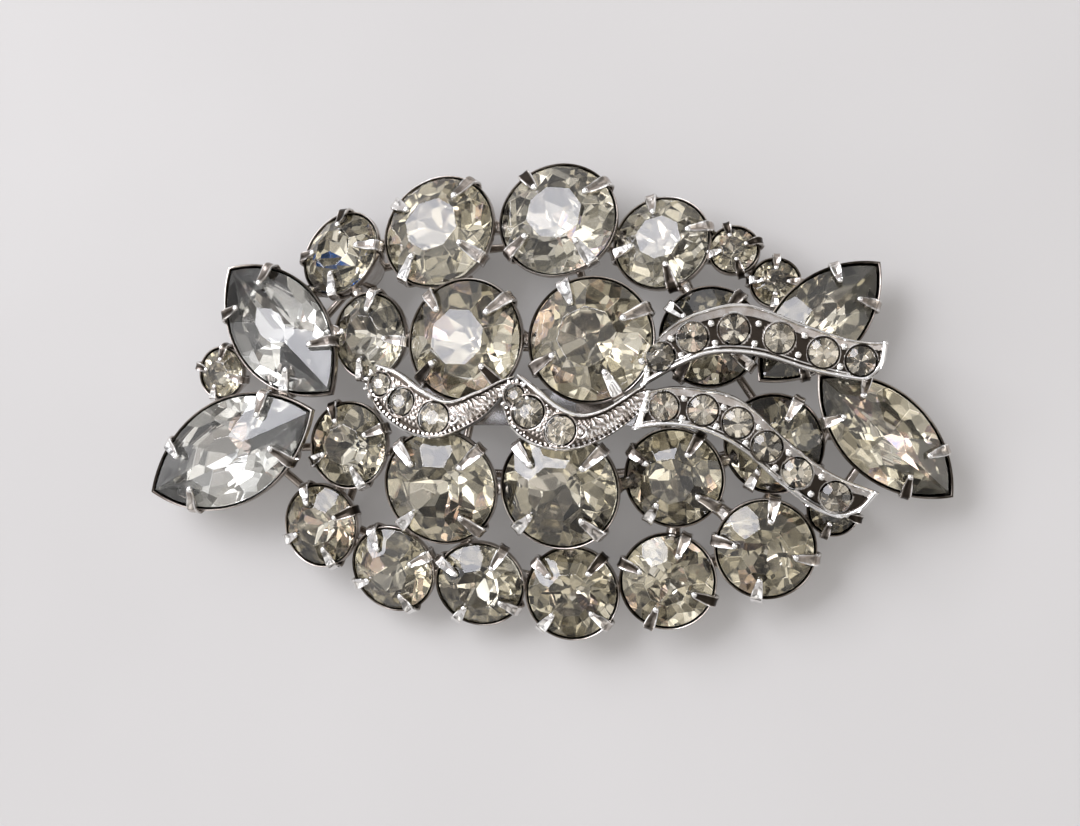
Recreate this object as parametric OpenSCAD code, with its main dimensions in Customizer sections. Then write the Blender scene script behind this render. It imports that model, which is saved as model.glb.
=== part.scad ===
// Rhinestone brooch: a domed cluster of claw-set stones, two channel ribbons and a leaf scroll.
// It lies on its back with its face up: +X runs along its length, +Y up its width, +Z out of its face.

/* [Stones] */
// Air left between a stone and the metal round it
stone_gap = 0.07; // [0.05:0.01:0.09]
// Depth of a stone below its girdle, as a share of its width
pavilion_share = 0.43; // [0.4:0.01:0.45]
// Height of a stone above its girdle, as a share of its width
crown_share = 0.18; // [0.16:0.01:0.2]
// Width of the table, as a share of the stone's width
table_share = 0.5; // [0.46:0.01:0.54]

/* [Cups] */
// Thickness of a cup's wall at its rim
cup_wall = 0.2; // [0.18:0.01:0.22]
// Metal between the tip of a stone and the underside of its cup
cup_floor = 1; // [0.95:0.05:1.2]
// Height of a cup's rim above the girdle
rim_rise = 0.15; // [0.1:0.01:0.2]
// Radius of the solder bars between the cups
bar_radius = 0.35; // [0.3:0.01:0.37]

/* [Claws] */
// Thickness of a claw
claw_thick = 0.3; // [0.25:0.01:0.32]

/* [Ribbons] */
// Thickness of a ribbon's bed
bed_thick = 0.8; // [0.7:0.05:0.9]
// Height of a ribbon's rims above its bed
ribbon_rim_rise = 0.45; // [0.35:0.05:0.5]
// Width of a ribbon's rims
ribbon_rim_width = 0.4; // [0.3:0.05:0.45]
// Air round a small stone in its drilled seat
seat_gap = 0.1; // [0.1:0.01:0.12]

/* [Pin] */
// Length of the plate that carries the pin
plate_length = 26; // [24:0.5:27]
// Width of the plate
plate_width = 3; // [2.6:0.1:3.2]
// Thickness of the plate
plate_thick = 0.8; // [0.6:0.05:0.9]
// Height of the plate's top above the surface the brooch lies on
plate_top = 3.2; // [3.1:0.05:3.25]
// Radius of the pin stem
stem_radius = 0.45; // [0.35:0.05:0.5]

/* [Hidden] */
// Sides of a round stone's table; its girdle and its cup have twice as many
STONE_SIDES = 8;
SMALL_STONE_SIDES = 4;
SMALL_STONE_SIZE = 5;
// Sides of the solder bars, of the posts under the strips and of the pads over the pin's plate
BAR_SIDES = 4;
POST_SIDES = 6;
PAD_SIDES = 12;

// Columns of the stone tables
NAME = 0;
PLACE_X = 1;
PLACE_Y = 2;
SIZE = 3;
LIFT = 4;
LEAN_X = 5;
LEAN_Y = 6;
TURN = 7;
LENGTH = 8;

// name, x, y, diameter, height of the cup's lowest point, lean to +X, lean to +Y, turn of the claws
ROUND_STONES = [
    ["top_stone_1", -18.9, 12.8, 7.1, 0.3, -18, 16, 5],
    ["top_stone_2", -10.1, 14.4, 9.4, 0, -8, 13, 59],
    ["top_stone_3", 0.1, 15.2, 9.4, 0, 1, 13, 39],
    ["top_stone_4", 8.7, 13.2, 7.6, 0.3, -2, 14, 17],
    ["top_stone_5", 14.5, 12.6, 3.7, 1.6, 5, 12, 17],
    ["top_stone_6", 17.8, 10, 3.7, 0.8, 10, 8, 88],
    ["upper_stone_1", -15.4, 5.6, 6.7, 2.6, -16, -3, 80],
    ["upper_stone_2", -6.6, 5, 9.5, 3.3, -7, 0, 41],
    ["upper_stone_3", 3.9, 4.9, 9.8, 3.4, 1, 3, 28],
    ["upper_stone_4", 13, 5.4, 7.7, 1.6, 3, 2, 54],
    ["lower_stone_1", -17.2, -3.4, 6.7, 1.9, -9, -4, 22],
    ["lower_stone_2", -8.6, -6.9, 9.1, 2.5, -3, -19, 41],
    ["lower_stone_3", 1.4, -7, 9.3, 2.5, -1, -17, 41],
    ["lower_stone_4", 10.4, -5.9, 7.6, 1.8, 1, -15, 57],
    ["lower_stone_5", 18.2, -3.1, 7.5, 1, 3, -12, 60],
    ["bottom_stone_1", -20.1, -10, 6.5, 0.2, -12, -9, 20],
    ["bottom_stone_2", -13.6, -13.5, 6.9, 0, -7, -22, 20],
    ["bottom_stone_3", -6.1, -14.6, 6.9, 0, 4, -25, 55],
    ["bottom_stone_4", 1.7, -15.2, 7.2, 0, 4, -10, 49],
    ["bottom_stone_5", 9.6, -14.1, 7.3, 0, 8, -10, 68],
    ["bottom_stone_6", 17.5, -11.4, 7.6, 0, 8, -14, 80],
    ["bottom_stone_7", 22.7, -8.2, 3.7, 0.8, 12, -11, 72],
    ["side_stone", -29.8, 2.9, 4, 0.6, -12, -6, 74],
];

// name, x, y, width, height of the cup's lowest point, lean to +X, lean to +Y, way of the long axis, length
NAVETTE_STONES = [
    ["left_navette_upper", -23.8, 6.3, 8, 0.4, -12, 8, 136, 15.2],
    ["left_navette_lower", -27.8, -4, 8.4, 0.1, -12, -8, 202, 16.8],
    ["right_navette_upper", 21.6, 6.7, 6.3, 0.4, 12, 6, 46, 12.6],
    ["right_navette_lower", 26.9, -2.4, 6.5, 0.2, 14, -6, -41, 13.2],
];
ALL_STONES = concat(ROUND_STONES, NAVETTE_STONES);

// Each line of cups is joined by a bar from one to the next
SOLDER_LINES = [
    ["side_stone", "left_navette_upper", "top_stone_1", "top_stone_2", "top_stone_3", "top_stone_4",
        "top_stone_5", "top_stone_6", "right_navette_upper", "right_navette_lower", "bottom_stone_7",
        "bottom_stone_6", "bottom_stone_5", "bottom_stone_4", "bottom_stone_3", "bottom_stone_2",
        "bottom_stone_1", "left_navette_lower"],
    ["left_navette_upper", "upper_stone_1", "upper_stone_2", "upper_stone_3", "upper_stone_4"],
    ["left_navette_lower", "lower_stone_1", "lower_stone_2", "lower_stone_3", "lower_stone_4",
        "lower_stone_5", "right_navette_lower"],
    ["top_stone_2", "upper_stone_2", "lower_stone_2", "bottom_stone_2"],
    ["top_stone_3", "upper_stone_3", "lower_stone_3", "bottom_stone_4"],
    ["top_stone_4", "upper_stone_4", "lower_stone_5", "bottom_stone_6"],
    ["top_stone_1", "upper_stone_1", "lower_stone_1", "bottom_stone_1"],
];

// Edges of the upper ribbon, a row for each section: upper edge x, y, z, lower edge x, y, z
UPPER_RIBBON = [
    [8.8, 3.7, 9.1, 8.3, 1, 9.1],
    [10.3, 5.6, 9.1, 11.2, 2.6, 9],
    [12.8, 7, 8.9, 14, 3.6, 8.7],
    [16.3, 7.6, 8.4, 17.5, 3.4, 8.2],
    [20.6, 6.1, 7.8, 21.4, 2.3, 7.6],
    [24.4, 4.9, 7.2, 24.6, 1.7, 7.1],
    [27, 4.6, 6.8, 26.4, 1.9, 6.8],
];
LOWER_RIBBON = [
    [8.6, 0.6, 9, 7.6, -2.4, 9],
    [10.5, 1.1, 9, 10.5, -2, 8.8],
    [12.9, 1, 8.8, 13.6, -2.5, 8.4],
    [16, 0.2, 8.4, 16.2, -3.9, 7.9],
    [19.8, -3, 7.5, 18.8, -6.1, 7],
    [22.9, -5.3, 6.7, 21.6, -8.2, 6.3],
    [26.2, -6.8, 6, 24.4, -8.9, 5.8],
];
SCROLL_LEFT = [
    [-13.4, 2.9, 9, -14.2, 0.6, 8.9],
    [-11.4, 2.2, 9.3, -12.8, -1.4, 9.2],
    [-9.4, 0.8, 9.6, -10.3, -2.9, 9.6],
    [-7.2, -0.1, 9.7, -7.9, -3.1, 9.7],
    [-5, 0.6, 9.8, -5.4, -2.1, 9.8],
    [-3.4, 1.4, 9.7, -3.8, -0.8, 9.7],
    [-2, 2, 9.6, -3, 0.4, 9.6],
];
SCROLL_RIGHT = [
    [-1.4, 2, 9.7, -2.8, -0.4, 9.7],
    [0.1, 0.9, 9.8, -1.9, -2.5, 9.8],
    [1.9, -0.5, 9.8, -0.2, -3.7, 9.9],
    [3.5, -1.2, 9.7, 2.2, -4.2, 10],
    [5, -0.9, 9.6, 4.4, -3.6, 9.7],
    [6.6, 0, 9.4, 6.2, -2.6, 9.4],
    [8.6, 1.4, 9.2, 8.3, -0.9, 9.1],
];

// Small stones of each field: station along the strip, diameter, shift across from its middle line
UPPER_RIBBON_SEATS = [
    [0.62, 2.2, 0], [1.6, 2.3, 0], [2.6, 2.3, 0], [3.5, 2.3, 0], [4.35, 2.3, 0], [5.25, 2.3, 0],
];
LOWER_RIBBON_SEATS = [
    [0.85, 2.2, 0], [1.95, 2.3, 0], [2.9, 2.3, 0], [3.6, 2.3, 0], [4.35, 2.3, 0], [5.3, 2.3, 0],
];
SCROLL_LEFT_SEATS = [[0.45, 1.7, 0], [1.4, 2.1, 0], [2.6, 2.4, 0]];
SCROLL_RIGHT_SEATS = [[0.4, 1.4, 0], [1.2, 2.4, 0], [2.6, 2.3, 0]];
// Sections drawn between two stations of a strip
STRIP_STEPS = 2;

// Posts that carry the strips on the cups beside them: x, y, foot, top
POSTS = [
    [8.95, 3, 7.9, 9.4],
    [17.1, 6.9, 5.2, 8.6],
    [22.1, 2.5, 5, 8],
    [9.6, -1.7, 6.2, 9.1],
    [14.5, -1, 4.8, 8.6],
    [22.3, -6, 2.8, 6.8],
    [-13.5, 2.2, 6.2, 9.2],
    [-7.3, -2.25, 8.2, 9.9],
    [1.5, -2.1, 8.2, 9.9],
];
POST_RADIUS = 0.4;

// Sizes that grow with a stone: a share of its width, and a length added to it
CUP_BASE = [0.2, 0.35];
CLAW_REACH = [0.1, 0.1];
CLAW_ROOT = [0.12, 0.4];
CLAW_WIDTH = [0.08, 0.25];

// Depth of the upright band below a cup's rim
BAND_DEPTH = 0.35;
// Height to leave over a sloping bore, for each unit of air across it
BORE_SLOPE = 1.4;
NAVETTE_SLOPE = 1.8;
// How deep a bar lies above the underside of its cups
BAR_INLET = 0.1;

// A claw's root is let into its cup; its shoulder bends in over the stone to a narrow tip
CLAW_COUNT = 4;
CLAW_INLET = [0.5, 0.1];
CLAW_PROUD = 0.08;
CLAW_SHOULDER = 0.25;
CLAW_TIP = 0.15;
CLAW_TIP_SHARE = 0.5;

// Points along each side of a navette, its base as shares of its length and width, and its claws' place
NAVETTE_POINTS = 8;
NAVETTE_BASE_LENGTH = 0.6;
NAVETTE_BASE_WIDTH = 0.5;
NAVETTE_CLAW_PLACE = 0.62;

// A small stone's girdle above its bed, and the length of the drill for its seat
SEAT_RISE = 0.1;
SEAT_DRILL = 4;

// Middle of the box round the whole brooch, taken to the origin
CENTRE = [-1.9, 0.51];

// Blocks of the hinge and the catch, and the height and start of the pin stem
PIN_HINGE_LENGTH = 3;
PIN_CATCH_LENGTH = 2;
PIN_HEIGHT = 1.1;
PIN_START = 1;

// Solder pads over the plate: where each lies along it, its size and the air under it
PAD_PLACES = [-7.2, 2.7];
PAD_RADIUS = 1.2;
PAD_HEIGHT = 0.9;
PAD_LIFT = 0.1;

STONE_NAMES = [for (s = ALL_STONES) s[NAME]];

// How a stone faces, how deep its cup is and where its girdle's centre lies
function facing(s) = [cos(s[LEAN_Y]) * sin(s[LEAN_X]), sin(s[LEAN_Y]), cos(s[LEAN_Y]) * cos(s[LEAN_X])];
function grown(rule, size) = rule[0] * size + rule[1];
function cup_depth(size) = pavilion_share * size + cup_floor;
function base_radius(size) = grown(CUP_BASE, size);
function rim_radius(size) = size / 2 + stone_gap + cup_wall;
function is_navette(s) = len(s) > LENGTH;
function table_sides(size) = size < SMALL_STONE_SIZE ? SMALL_STONE_SIDES : STONE_SIDES;
function long_drop(s) = sin(s[LEAN_X]) * cos(s[TURN]) + cos(s[LEAN_X]) * sin(s[LEAN_Y]) * sin(s[TURN]);
function short_drop(s) = cos(s[LEAN_X]) * sin(s[LEAN_Y]) * cos(s[TURN]) - sin(s[LEAN_X]) * sin(s[TURN]);
function base_drop(s) = is_navette(s)
    ? norm([NAVETTE_BASE_LENGTH * s[LENGTH] * long_drop(s), NAVETTE_BASE_WIDTH * s[SIZE] * short_drop(s)]) / 2
    : base_radius(s[SIZE]) * sqrt(1 - pow(facing(s).z, 2));
function girdle(s) = [s[PLACE_X], s[PLACE_Y], s[LIFT] + cup_depth(s[SIZE]) * facing(s).z + base_drop(s)];
function bar_seat(s) = girdle(s) - facing(s) * (cup_depth(s[SIZE]) - bar_radius - BAR_INLET);
function stone_named(name) = ALL_STONES[search([name], ALL_STONES)[0]];

// Points and normals of a strip: a smooth curve through the rows of its table
function unit(v) = v / norm(v);
function row_near(rows, i) = rows[max(0, min(len(rows) - 1, i))];
function spline(a, b, c, d, t) =
    0.5 * (2 * b + (c - a) * t + (2 * a - 5 * b + 4 * c - d) * t * t + (3 * b - a - 3 * c + d) * t * t * t);
function row_at(rows, u) = let (i = min(floor(u), len(rows) - 2))
    spline(row_near(rows, i - 1), rows[i], rows[i + 1], row_near(rows, i + 2), u - i);
function upper_edge(r) = [r[0], r[1], r[2]];
function lower_edge(r) = [r[3], r[4], r[5]];
function strip_middle(rows, u) = let (r = row_at(rows, u)) (upper_edge(r) + lower_edge(r)) / 2;
function strip_across(rows, u) = let (r = row_at(rows, u)) unit(lower_edge(r) - upper_edge(r));
function strip_up(rows, u) = let (
    ahead = strip_middle(rows, min(u + 0.1, len(rows) - 1)),
    behind = strip_middle(rows, max(u - 0.1, 0))
) unit(cross(strip_across(rows, u), ahead - behind));
function strip_width(rows, u) = let (r = row_at(rows, u)) norm(lower_edge(r) - upper_edge(r));
// Section of a strip: how far across and how high each corner lies
function strip_section(width) = [
    [0, 0],
    [0, bed_thick + ribbon_rim_rise],
    [ribbon_rim_width, bed_thick + ribbon_rim_rise],
    [ribbon_rim_width, bed_thick],
    [width - ribbon_rim_width, bed_thick],
    [width - ribbon_rim_width, bed_thick + ribbon_rim_rise],
    [width, bed_thick + ribbon_rim_rise],
    [width, 0],
];
function strip_corners(rows, u) = [
    for (c = strip_section(strip_width(rows, u)))
        upper_edge(row_at(rows, u)) + c[0] * strip_across(rows, u) + c[1] * strip_up(rows, u)
];

// Outline of a pointed oval, anticlockwise from its left tip
function oval_radius(length, width) = (length * length + width * width) / (4 * width);
function oval(length, width) = let (
    r = oval_radius(length, width),
    half = asin(length / 2 / r),
    step = 2 * half / NAVETTE_POINTS
) [
    for (side = [-1, 1], i = [0 : NAVETTE_POINTS - 1])
        let (a = -half + i * step) [-side * r * sin(a), side * (r * cos(a) - (r - width / 2))]
];
function ring_at(outline, z) = [for (p = outline) [p.x, p.y, z]];
// Triangles between two rings of n points, the second ring above the first
function ring_faces(n, low, high) = [
    for (i = [0 : n - 1]) let (j = (i + 1) % n) each [
        [low + i, high + j, low + j],
        [low + i, high + i, high + j],
    ]
];
function fan_faces(n, tip, ring, up) = [
    for (i = [0 : n - 1]) let (j = (i + 1) % n) up ? [tip, ring + j, ring + i] : [tip, ring + i, ring + j]
];

module in_place() {
    translate([-CENTRE.x, -CENTRE.y, 0]) children();
}

module at_stone(s) {
    translate(girdle(s)) rotate([-s[LEAN_Y], s[LEAN_X], 0]) rotate(s[TURN]) children();
}

module facing_up(place, up) {
    translate(place) rotate([0, acos(up.z), atan2(up.y, up.x)]) children();
}

module bar_end() {
    cylinder(h = bar_radius, r1 = bar_radius / 2, r2 = bar_radius, $fn = BAR_SIDES);
}

module bar(from, to) {
    way = unit(to - from);
    hull() {
        facing_up(from, way) bar_end();
        facing_up(to, -way) bar_end();
    }
}

// A round stone: an eight-sided table, a crown down to a girdle of twice the sides, and a pointed back
module round_stone(size) {
    sides = table_sides(size);
    table = [for (i = [0 : sides - 1]) let (a = (i + 0.5) * 360 / sides)
        [table_share * size / 2 * cos(a), table_share * size / 2 * sin(a), crown_share * size]];
    girdle_ring = [for (i = [0 : 2 * sides - 1]) let (a = i * 180 / sides)
        [size / 2 * cos(a), size / 2 * sin(a), 0]];
    crown = [for (i = [0 : sides - 1]) let (
        g = sides + 2 * i,
        next = sides + (2 * i + 2) % (2 * sides)
    ) each [
        [i, g + 1, g],
        [i, next, g + 1],
        [i, (i + 1) % sides, next],
    ]];
    polyhedron(
        concat(table, girdle_ring, [[0, 0, -pavilion_share * size]]),
        concat([[for (i = [sides - 1 : -1 : 0]) i]], crown, fan_faces(2 * sides, 3 * sides, sides, false))
    );
}

// A pointed oval stone with a stepped table and a pointed back
module navette_stone(length, width) {
    n = 2 * NAVETTE_POINTS;
    polyhedron(
        concat(
            ring_at(oval(length * table_share, width * table_share), crown_share * width),
            ring_at(oval(length, width), 0),
            [[0, 0, -pavilion_share * width]]
        ),
        concat([[for (i = [n - 1 : -1 : 0]) i]], ring_faces(n, n, 0), fan_faces(n, 2 * n, n, false))
    );
}

module stone(s) {
    color(s[PLACE_X] < -22 ? "gainsboro" : "tan") in_place() at_stone(s)
        if (is_navette(s)) navette_stone(s[LENGTH], s[SIZE]);
        else round_stone(s[SIZE]);
}

// A claw up the side of a cup and over the stone's edge; x = 0 is the girdle's edge
module claw(size, taper) {
    reach = grown(CLAW_REACH, size);
    root = grown(CLAW_ROOT, size);
    width = grown(CLAW_WIDTH, size);
    inner = stone_gap + CLAW_PROUD;
    rise = crown_share / ((1 - table_share) / 2);
    wall_at_root = stone_gap + cup_wall - taper * (root - BAND_DEPTH);
    tip_low = reach * rise + BORE_SLOPE * stone_gap;
    // Inner edge, outer edge and width of the claw at its root, bend and tip
    sections = [
        [[wall_at_root - CLAW_INLET[0], -root], [wall_at_root - CLAW_INLET[1], -root], width],
        [[inner, 0], [inner + claw_thick, CLAW_SHOULDER], width],
        [[-reach, tip_low], [-reach + CLAW_TIP, tip_low + claw_thick], CLAW_TIP_SHARE * width],
    ];
    points = [
        for (s = sections) each [
            [s[0].x, -s[2] / 2, s[0].y],
            [s[1].x, -s[2] / 2, s[1].y],
            [s[1].x, s[2] / 2, s[1].y],
            [s[0].x, s[2] / 2, s[0].y],
        ]
    ];
    last = 4 * (len(sections) - 1);
    polyhedron(points, concat(
        [[0, 1, 2, 3], [last + 3, last + 2, last + 1, last]],
        [for (k = [0 : len(sections) - 2]) each ring_faces(4, 4 * k, 4 * k + 4)]
    ));
}

module round_cup(size) {
    depth = cup_depth(size);
    rim = rim_radius(size);
    bore = size / 2 + stone_gap;
    tip = pavilion_share * size + BORE_SLOPE * stone_gap;
    taper = (rim - base_radius(size)) / (depth - BAND_DEPTH);
    rotate_extrude($fn = 2 * table_sides(size)) polygon([
        [0, -depth],
        [base_radius(size), -depth],
        [rim, -BAND_DEPTH],
        [rim, rim_rise],
        [bore, rim_rise],
        [bore, 2 * pavilion_share * bore - tip],
        [0, -tip],
    ]);
    for (i = [0 : CLAW_COUNT - 1])
        rotate(i * 360 / CLAW_COUNT) translate([size / 2, 0]) claw(size, taper);
}

module navette_cup(length, width) {
    depth = cup_depth(width);
    wall = 2 * (stone_gap + cup_wall);
    gap = 2 * stone_gap;
    n = 2 * NAVETTE_POINTS;
    tip = pavilion_share * width + NAVETTE_SLOPE * stone_gap;
    points = concat(
        ring_at(oval(NAVETTE_BASE_LENGTH * length, NAVETTE_BASE_WIDTH * width), -depth),
        ring_at(oval(length + 2 * wall, width + wall), -BAND_DEPTH),
        ring_at(oval(length + 2 * wall, width + wall), rim_rise),
        ring_at(oval(length + 2 * gap, width + gap), rim_rise),
        ring_at(oval(length + 2 * gap, width + gap), -0.5 * stone_gap),
        [[0, 0, -tip]]
    );
    polyhedron(points, concat(
        [[for (i = [0 : n - 1]) i]],
        ring_faces(n, 0, n),
        ring_faces(n, n, 2 * n),
        ring_faces(n, 2 * n, 3 * n),
        ring_faces(n, 3 * n, 4 * n),
        fan_faces(n, 5 * n, 4 * n, true)
    ));
    r = oval_radius(length, width);
    swing = asin(NAVETTE_CLAW_PLACE * length / 2 / r);
    for (end = [-1, 1], side = [0, 180])
        rotate(side) translate([0, width / 2 - r]) rotate(90 + end * swing) translate([r, 0])
            claw(width, (rim_radius(width) - NAVETTE_BASE_WIDTH * width / 2) / (depth - BAND_DEPTH));
}

// A strip with raised rims, drilled through under each small stone
module strip(rows, seats) {
    count = STRIP_STEPS * (len(rows) - 1);
    sides = 8;
    points = [for (k = [0 : count]) each strip_corners(rows, k / STRIP_STEPS)];
    walls = [for (k = [0 : count - 1]) each ring_faces(sides, k * sides, (k + 1) * sides)];
    difference() {
        polyhedron(points, concat(
            [[for (i = [0 : sides - 1]) i]],
            walls,
            [[for (i = [sides - 1 : -1 : 0]) count * sides + i]]
        ));
        for (seat = seats) at_seat(rows, seat)
            cylinder(h = SEAT_DRILL, r = seat[1] / 2 + seat_gap, center = true, $fn = 2 * SMALL_STONE_SIDES);
    }
}

module at_seat(rows, seat) {
    up = strip_up(rows, seat[0]);
    place = strip_middle(rows, seat[0]) + seat[2] * strip_across(rows, seat[0]);
    facing_up(place + (bed_thick + SEAT_RISE) * up, up) children();
}

module small_stones(rows, seats) {
    color("tan") in_place() for (seat = seats) at_seat(rows, seat) round_stone(seat[1]);
}

module metalwork() {
    color("silver") in_place() {
        for (s = ROUND_STONES) at_stone(s) round_cup(s[SIZE]);
        for (s = NAVETTE_STONES) at_stone(s) navette_cup(s[LENGTH], s[SIZE]);
        for (line = SOLDER_LINES, i = [1 : len(line) - 1])
            bar(bar_seat(stone_named(line[i - 1])), bar_seat(stone_named(line[i])));
        strip(UPPER_RIBBON, UPPER_RIBBON_SEATS);
        strip(LOWER_RIBBON, LOWER_RIBBON_SEATS);
        strip(SCROLL_LEFT, SCROLL_LEFT_SEATS);
        strip(SCROLL_RIGHT, SCROLL_RIGHT_SEATS);
        for (p = POSTS)
            translate([p[0], p[1], p[2]]) cylinder(h = p[3] - p[2], r = POST_RADIUS, $fn = POST_SIDES);
        for (x = PAD_PLACES)
            translate([x, 0, plate_top + PAD_LIFT]) cylinder(h = PAD_HEIGHT, r = PAD_RADIUS, $fn = PAD_SIDES);
    }
}

// Plate, hinge block, catch and stem as one plain piece
module pin_back() {
    half = plate_length / 2;
    color("gray") in_place() {
        translate([-half, -plate_width / 2, plate_top - plate_thick])
            cube([plate_length, plate_width, plate_thick]);
        translate([-half, -plate_width / 2, 0])
            cube([PIN_HINGE_LENGTH, plate_width, plate_top - plate_thick / 2]);
        translate([half - PIN_CATCH_LENGTH, -plate_width / 2, 0])
            cube([PIN_CATCH_LENGTH, plate_width, plate_top - plate_thick / 2]);
        translate([-half + PIN_START, 0, PIN_HEIGHT]) rotate([0, 90, 0])
            cylinder(h = plate_length, r = stem_radius, $fn = 24);
    }
}

metalwork();
pin_back();
small_stones(UPPER_RIBBON, UPPER_RIBBON_SEATS);  // upper_ribbon_stones
small_stones(LOWER_RIBBON, LOWER_RIBBON_SEATS);  // lower_ribbon_stones
union() {  // scroll_stones
    small_stones(SCROLL_LEFT, SCROLL_LEFT_SEATS);
    small_stones(SCROLL_RIGHT, SCROLL_RIGHT_SEATS);
}
for (s = ALL_STONES) stone(s);
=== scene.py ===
import math
import random
import bmesh
import bpy
from mathutils import Matrix, Vector


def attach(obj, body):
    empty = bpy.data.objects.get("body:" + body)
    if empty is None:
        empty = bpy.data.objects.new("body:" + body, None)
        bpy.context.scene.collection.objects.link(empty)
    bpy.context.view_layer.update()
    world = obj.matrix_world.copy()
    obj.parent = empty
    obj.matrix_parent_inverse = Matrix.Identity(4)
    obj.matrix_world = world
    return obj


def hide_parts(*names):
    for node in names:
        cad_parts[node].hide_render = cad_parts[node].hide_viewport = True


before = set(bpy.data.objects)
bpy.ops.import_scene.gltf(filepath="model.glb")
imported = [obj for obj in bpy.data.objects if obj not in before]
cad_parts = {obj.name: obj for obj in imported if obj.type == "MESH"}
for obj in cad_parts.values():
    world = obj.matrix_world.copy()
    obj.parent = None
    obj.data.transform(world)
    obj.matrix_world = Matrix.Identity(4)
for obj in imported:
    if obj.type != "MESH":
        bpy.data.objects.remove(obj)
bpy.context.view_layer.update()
print("frame loaded with", len(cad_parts), "nodes")

mm = 0.001  # all shapes below are worked out in millimetres
middle = Vector((-1.9, 0.51, 0))  # middle of the brooch in the tables below
body = "root"


# camera and light

camera = {
    "target": Vector((0, 0, 7)) - middle,
    "towards": (15, -5),  # degrees to the right of straight above, and up
    "distance": 190,
    "focalPixels": 2356,
    "targetPixel": (548, 403),  # where the target lies in the picture
    "imageSize": (1080, 826),
    "filmWidth": 36,
    "near": 0.01,
}


def addObject(name, data):
    obj = bpy.data.objects.new(name, data)
    bpy.context.scene.collection.objects.link(obj)
    return obj


def makeCamera():
    right, up = (math.radians(a) for a in camera["towards"])
    back = Vector((math.sin(right) * math.cos(up), math.sin(up), math.cos(right) * math.cos(up)))
    side = (Vector((1, 0, 0)) - back.x * back).normalized()
    turn = Matrix((side, back.cross(side), back)).transposed().to_4x4()
    data = bpy.data.cameras.new("camera")
    width, height = camera["imageSize"]
    data.sensor_width = camera["filmWidth"]
    data.lens = camera["focalPixels"] * data.sensor_width / width
    data.shift_x = (width / 2 - camera["targetPixel"][0]) / width
    data.shift_y = (camera["targetPixel"][1] - height / 2) / width
    data.clip_start = camera["near"]
    obj = addObject("camera", data)
    obj.matrix_world = Matrix.Translation((camera["target"] + back * camera["distance"]) * mm) @ turn
    bpy.context.scene.camera = obj


lights = {
    # towards the light, distance, side lengths in metres, radiance, colour
    "window": {"towards": (-0.5, 0.38, 0.78), "distance": 0.6, "size": (0.42, 0.42), "shine": 6.5,
               "colour": (0.94, 0.95, 1.0), "seenBy": ("diffuse",)},
    "fill": {"towards": (0.85, -0.1, 0.5), "distance": 0.7, "size": (0.2, 0.5), "shine": 1.6,
             "colour": (1.0, 0.98, 0.95), "seenBy": ("diffuse", "glossy", "transmission")},
}
# the window again, brighter on polished faces and softer inside the stones, each a little further away
# so that it isn't hidden behind the one before
lights["windowOnFaces"] = dict(lights["window"], distance=0.61, shine=8.2, size=(0.48, 0.46),
                              colour=(0.92, 0.925, 1.0), seenBy=("glossy",))
lights["windowInStones"] = dict(lights["window"], distance=0.62, shine=2.8, seenBy=("transmission",))
room = {
    # from the side away from the window to the window's own side
    "shades": [(0.35, (0.3, 0.285, 0.275)), (0.65, (0.6, 0.585, 0.57)), (0.97, (1.0, 1.0, 1.04))],
    "patchScale": 2.6,  # walls, furniture and curtains as soft patches of light and dark
    "patchDetail": 1.5,
    "patches": [(0.36, 0.3), (0.46, 0.8), (0.54, 1.3), (0.64, 2.2)],
    "brightest": 2.5,
}


def makeLights():
    for name, light in lights.items():
        data = bpy.data.lights.new(name, "AREA")
        data.shape = "RECTANGLE"
        data.size, data.size_y = light["size"]
        data.energy = light["shine"] * math.pi * data.size * data.size_y
        data.color = light["colour"]
        obj = addObject(name, data)
        towards = Vector(light["towards"]).normalized()
        obj.location = towards * light["distance"]
        obj.rotation_euler = towards.to_track_quat("Z", "Y").to_euler()
        obj.visible_diffuse = "diffuse" in light["seenBy"]
        obj.visible_glossy = "glossy" in light["seenBy"]
        obj.visible_transmission = "transmission" in light["seenBy"]


def addNode(tree, kind, settings=None, **values):
    node = tree.nodes.new(kind)
    for key, value in (settings or {}).items():
        setattr(node, key, value)
    for key, value in values.items():
        node.inputs[key.replace("_", " ")].default_value = value
    return node


def rampFrom(tree, source, stops):
    # a colour for each value, blended between (value, colour) stops
    ramp = addNode(tree, "ShaderNodeValToRGB")
    marks = ramp.color_ramp.elements
    while len(marks) < len(stops):
        marks.new(1.0)
    for mark, (place, colour) in zip(marks, stops):
        mark.position = place
        mark.color = (*colour, 1)
    tree.links.new(source, ramp.inputs["Fac"])
    return ramp.outputs["Color"]


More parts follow.
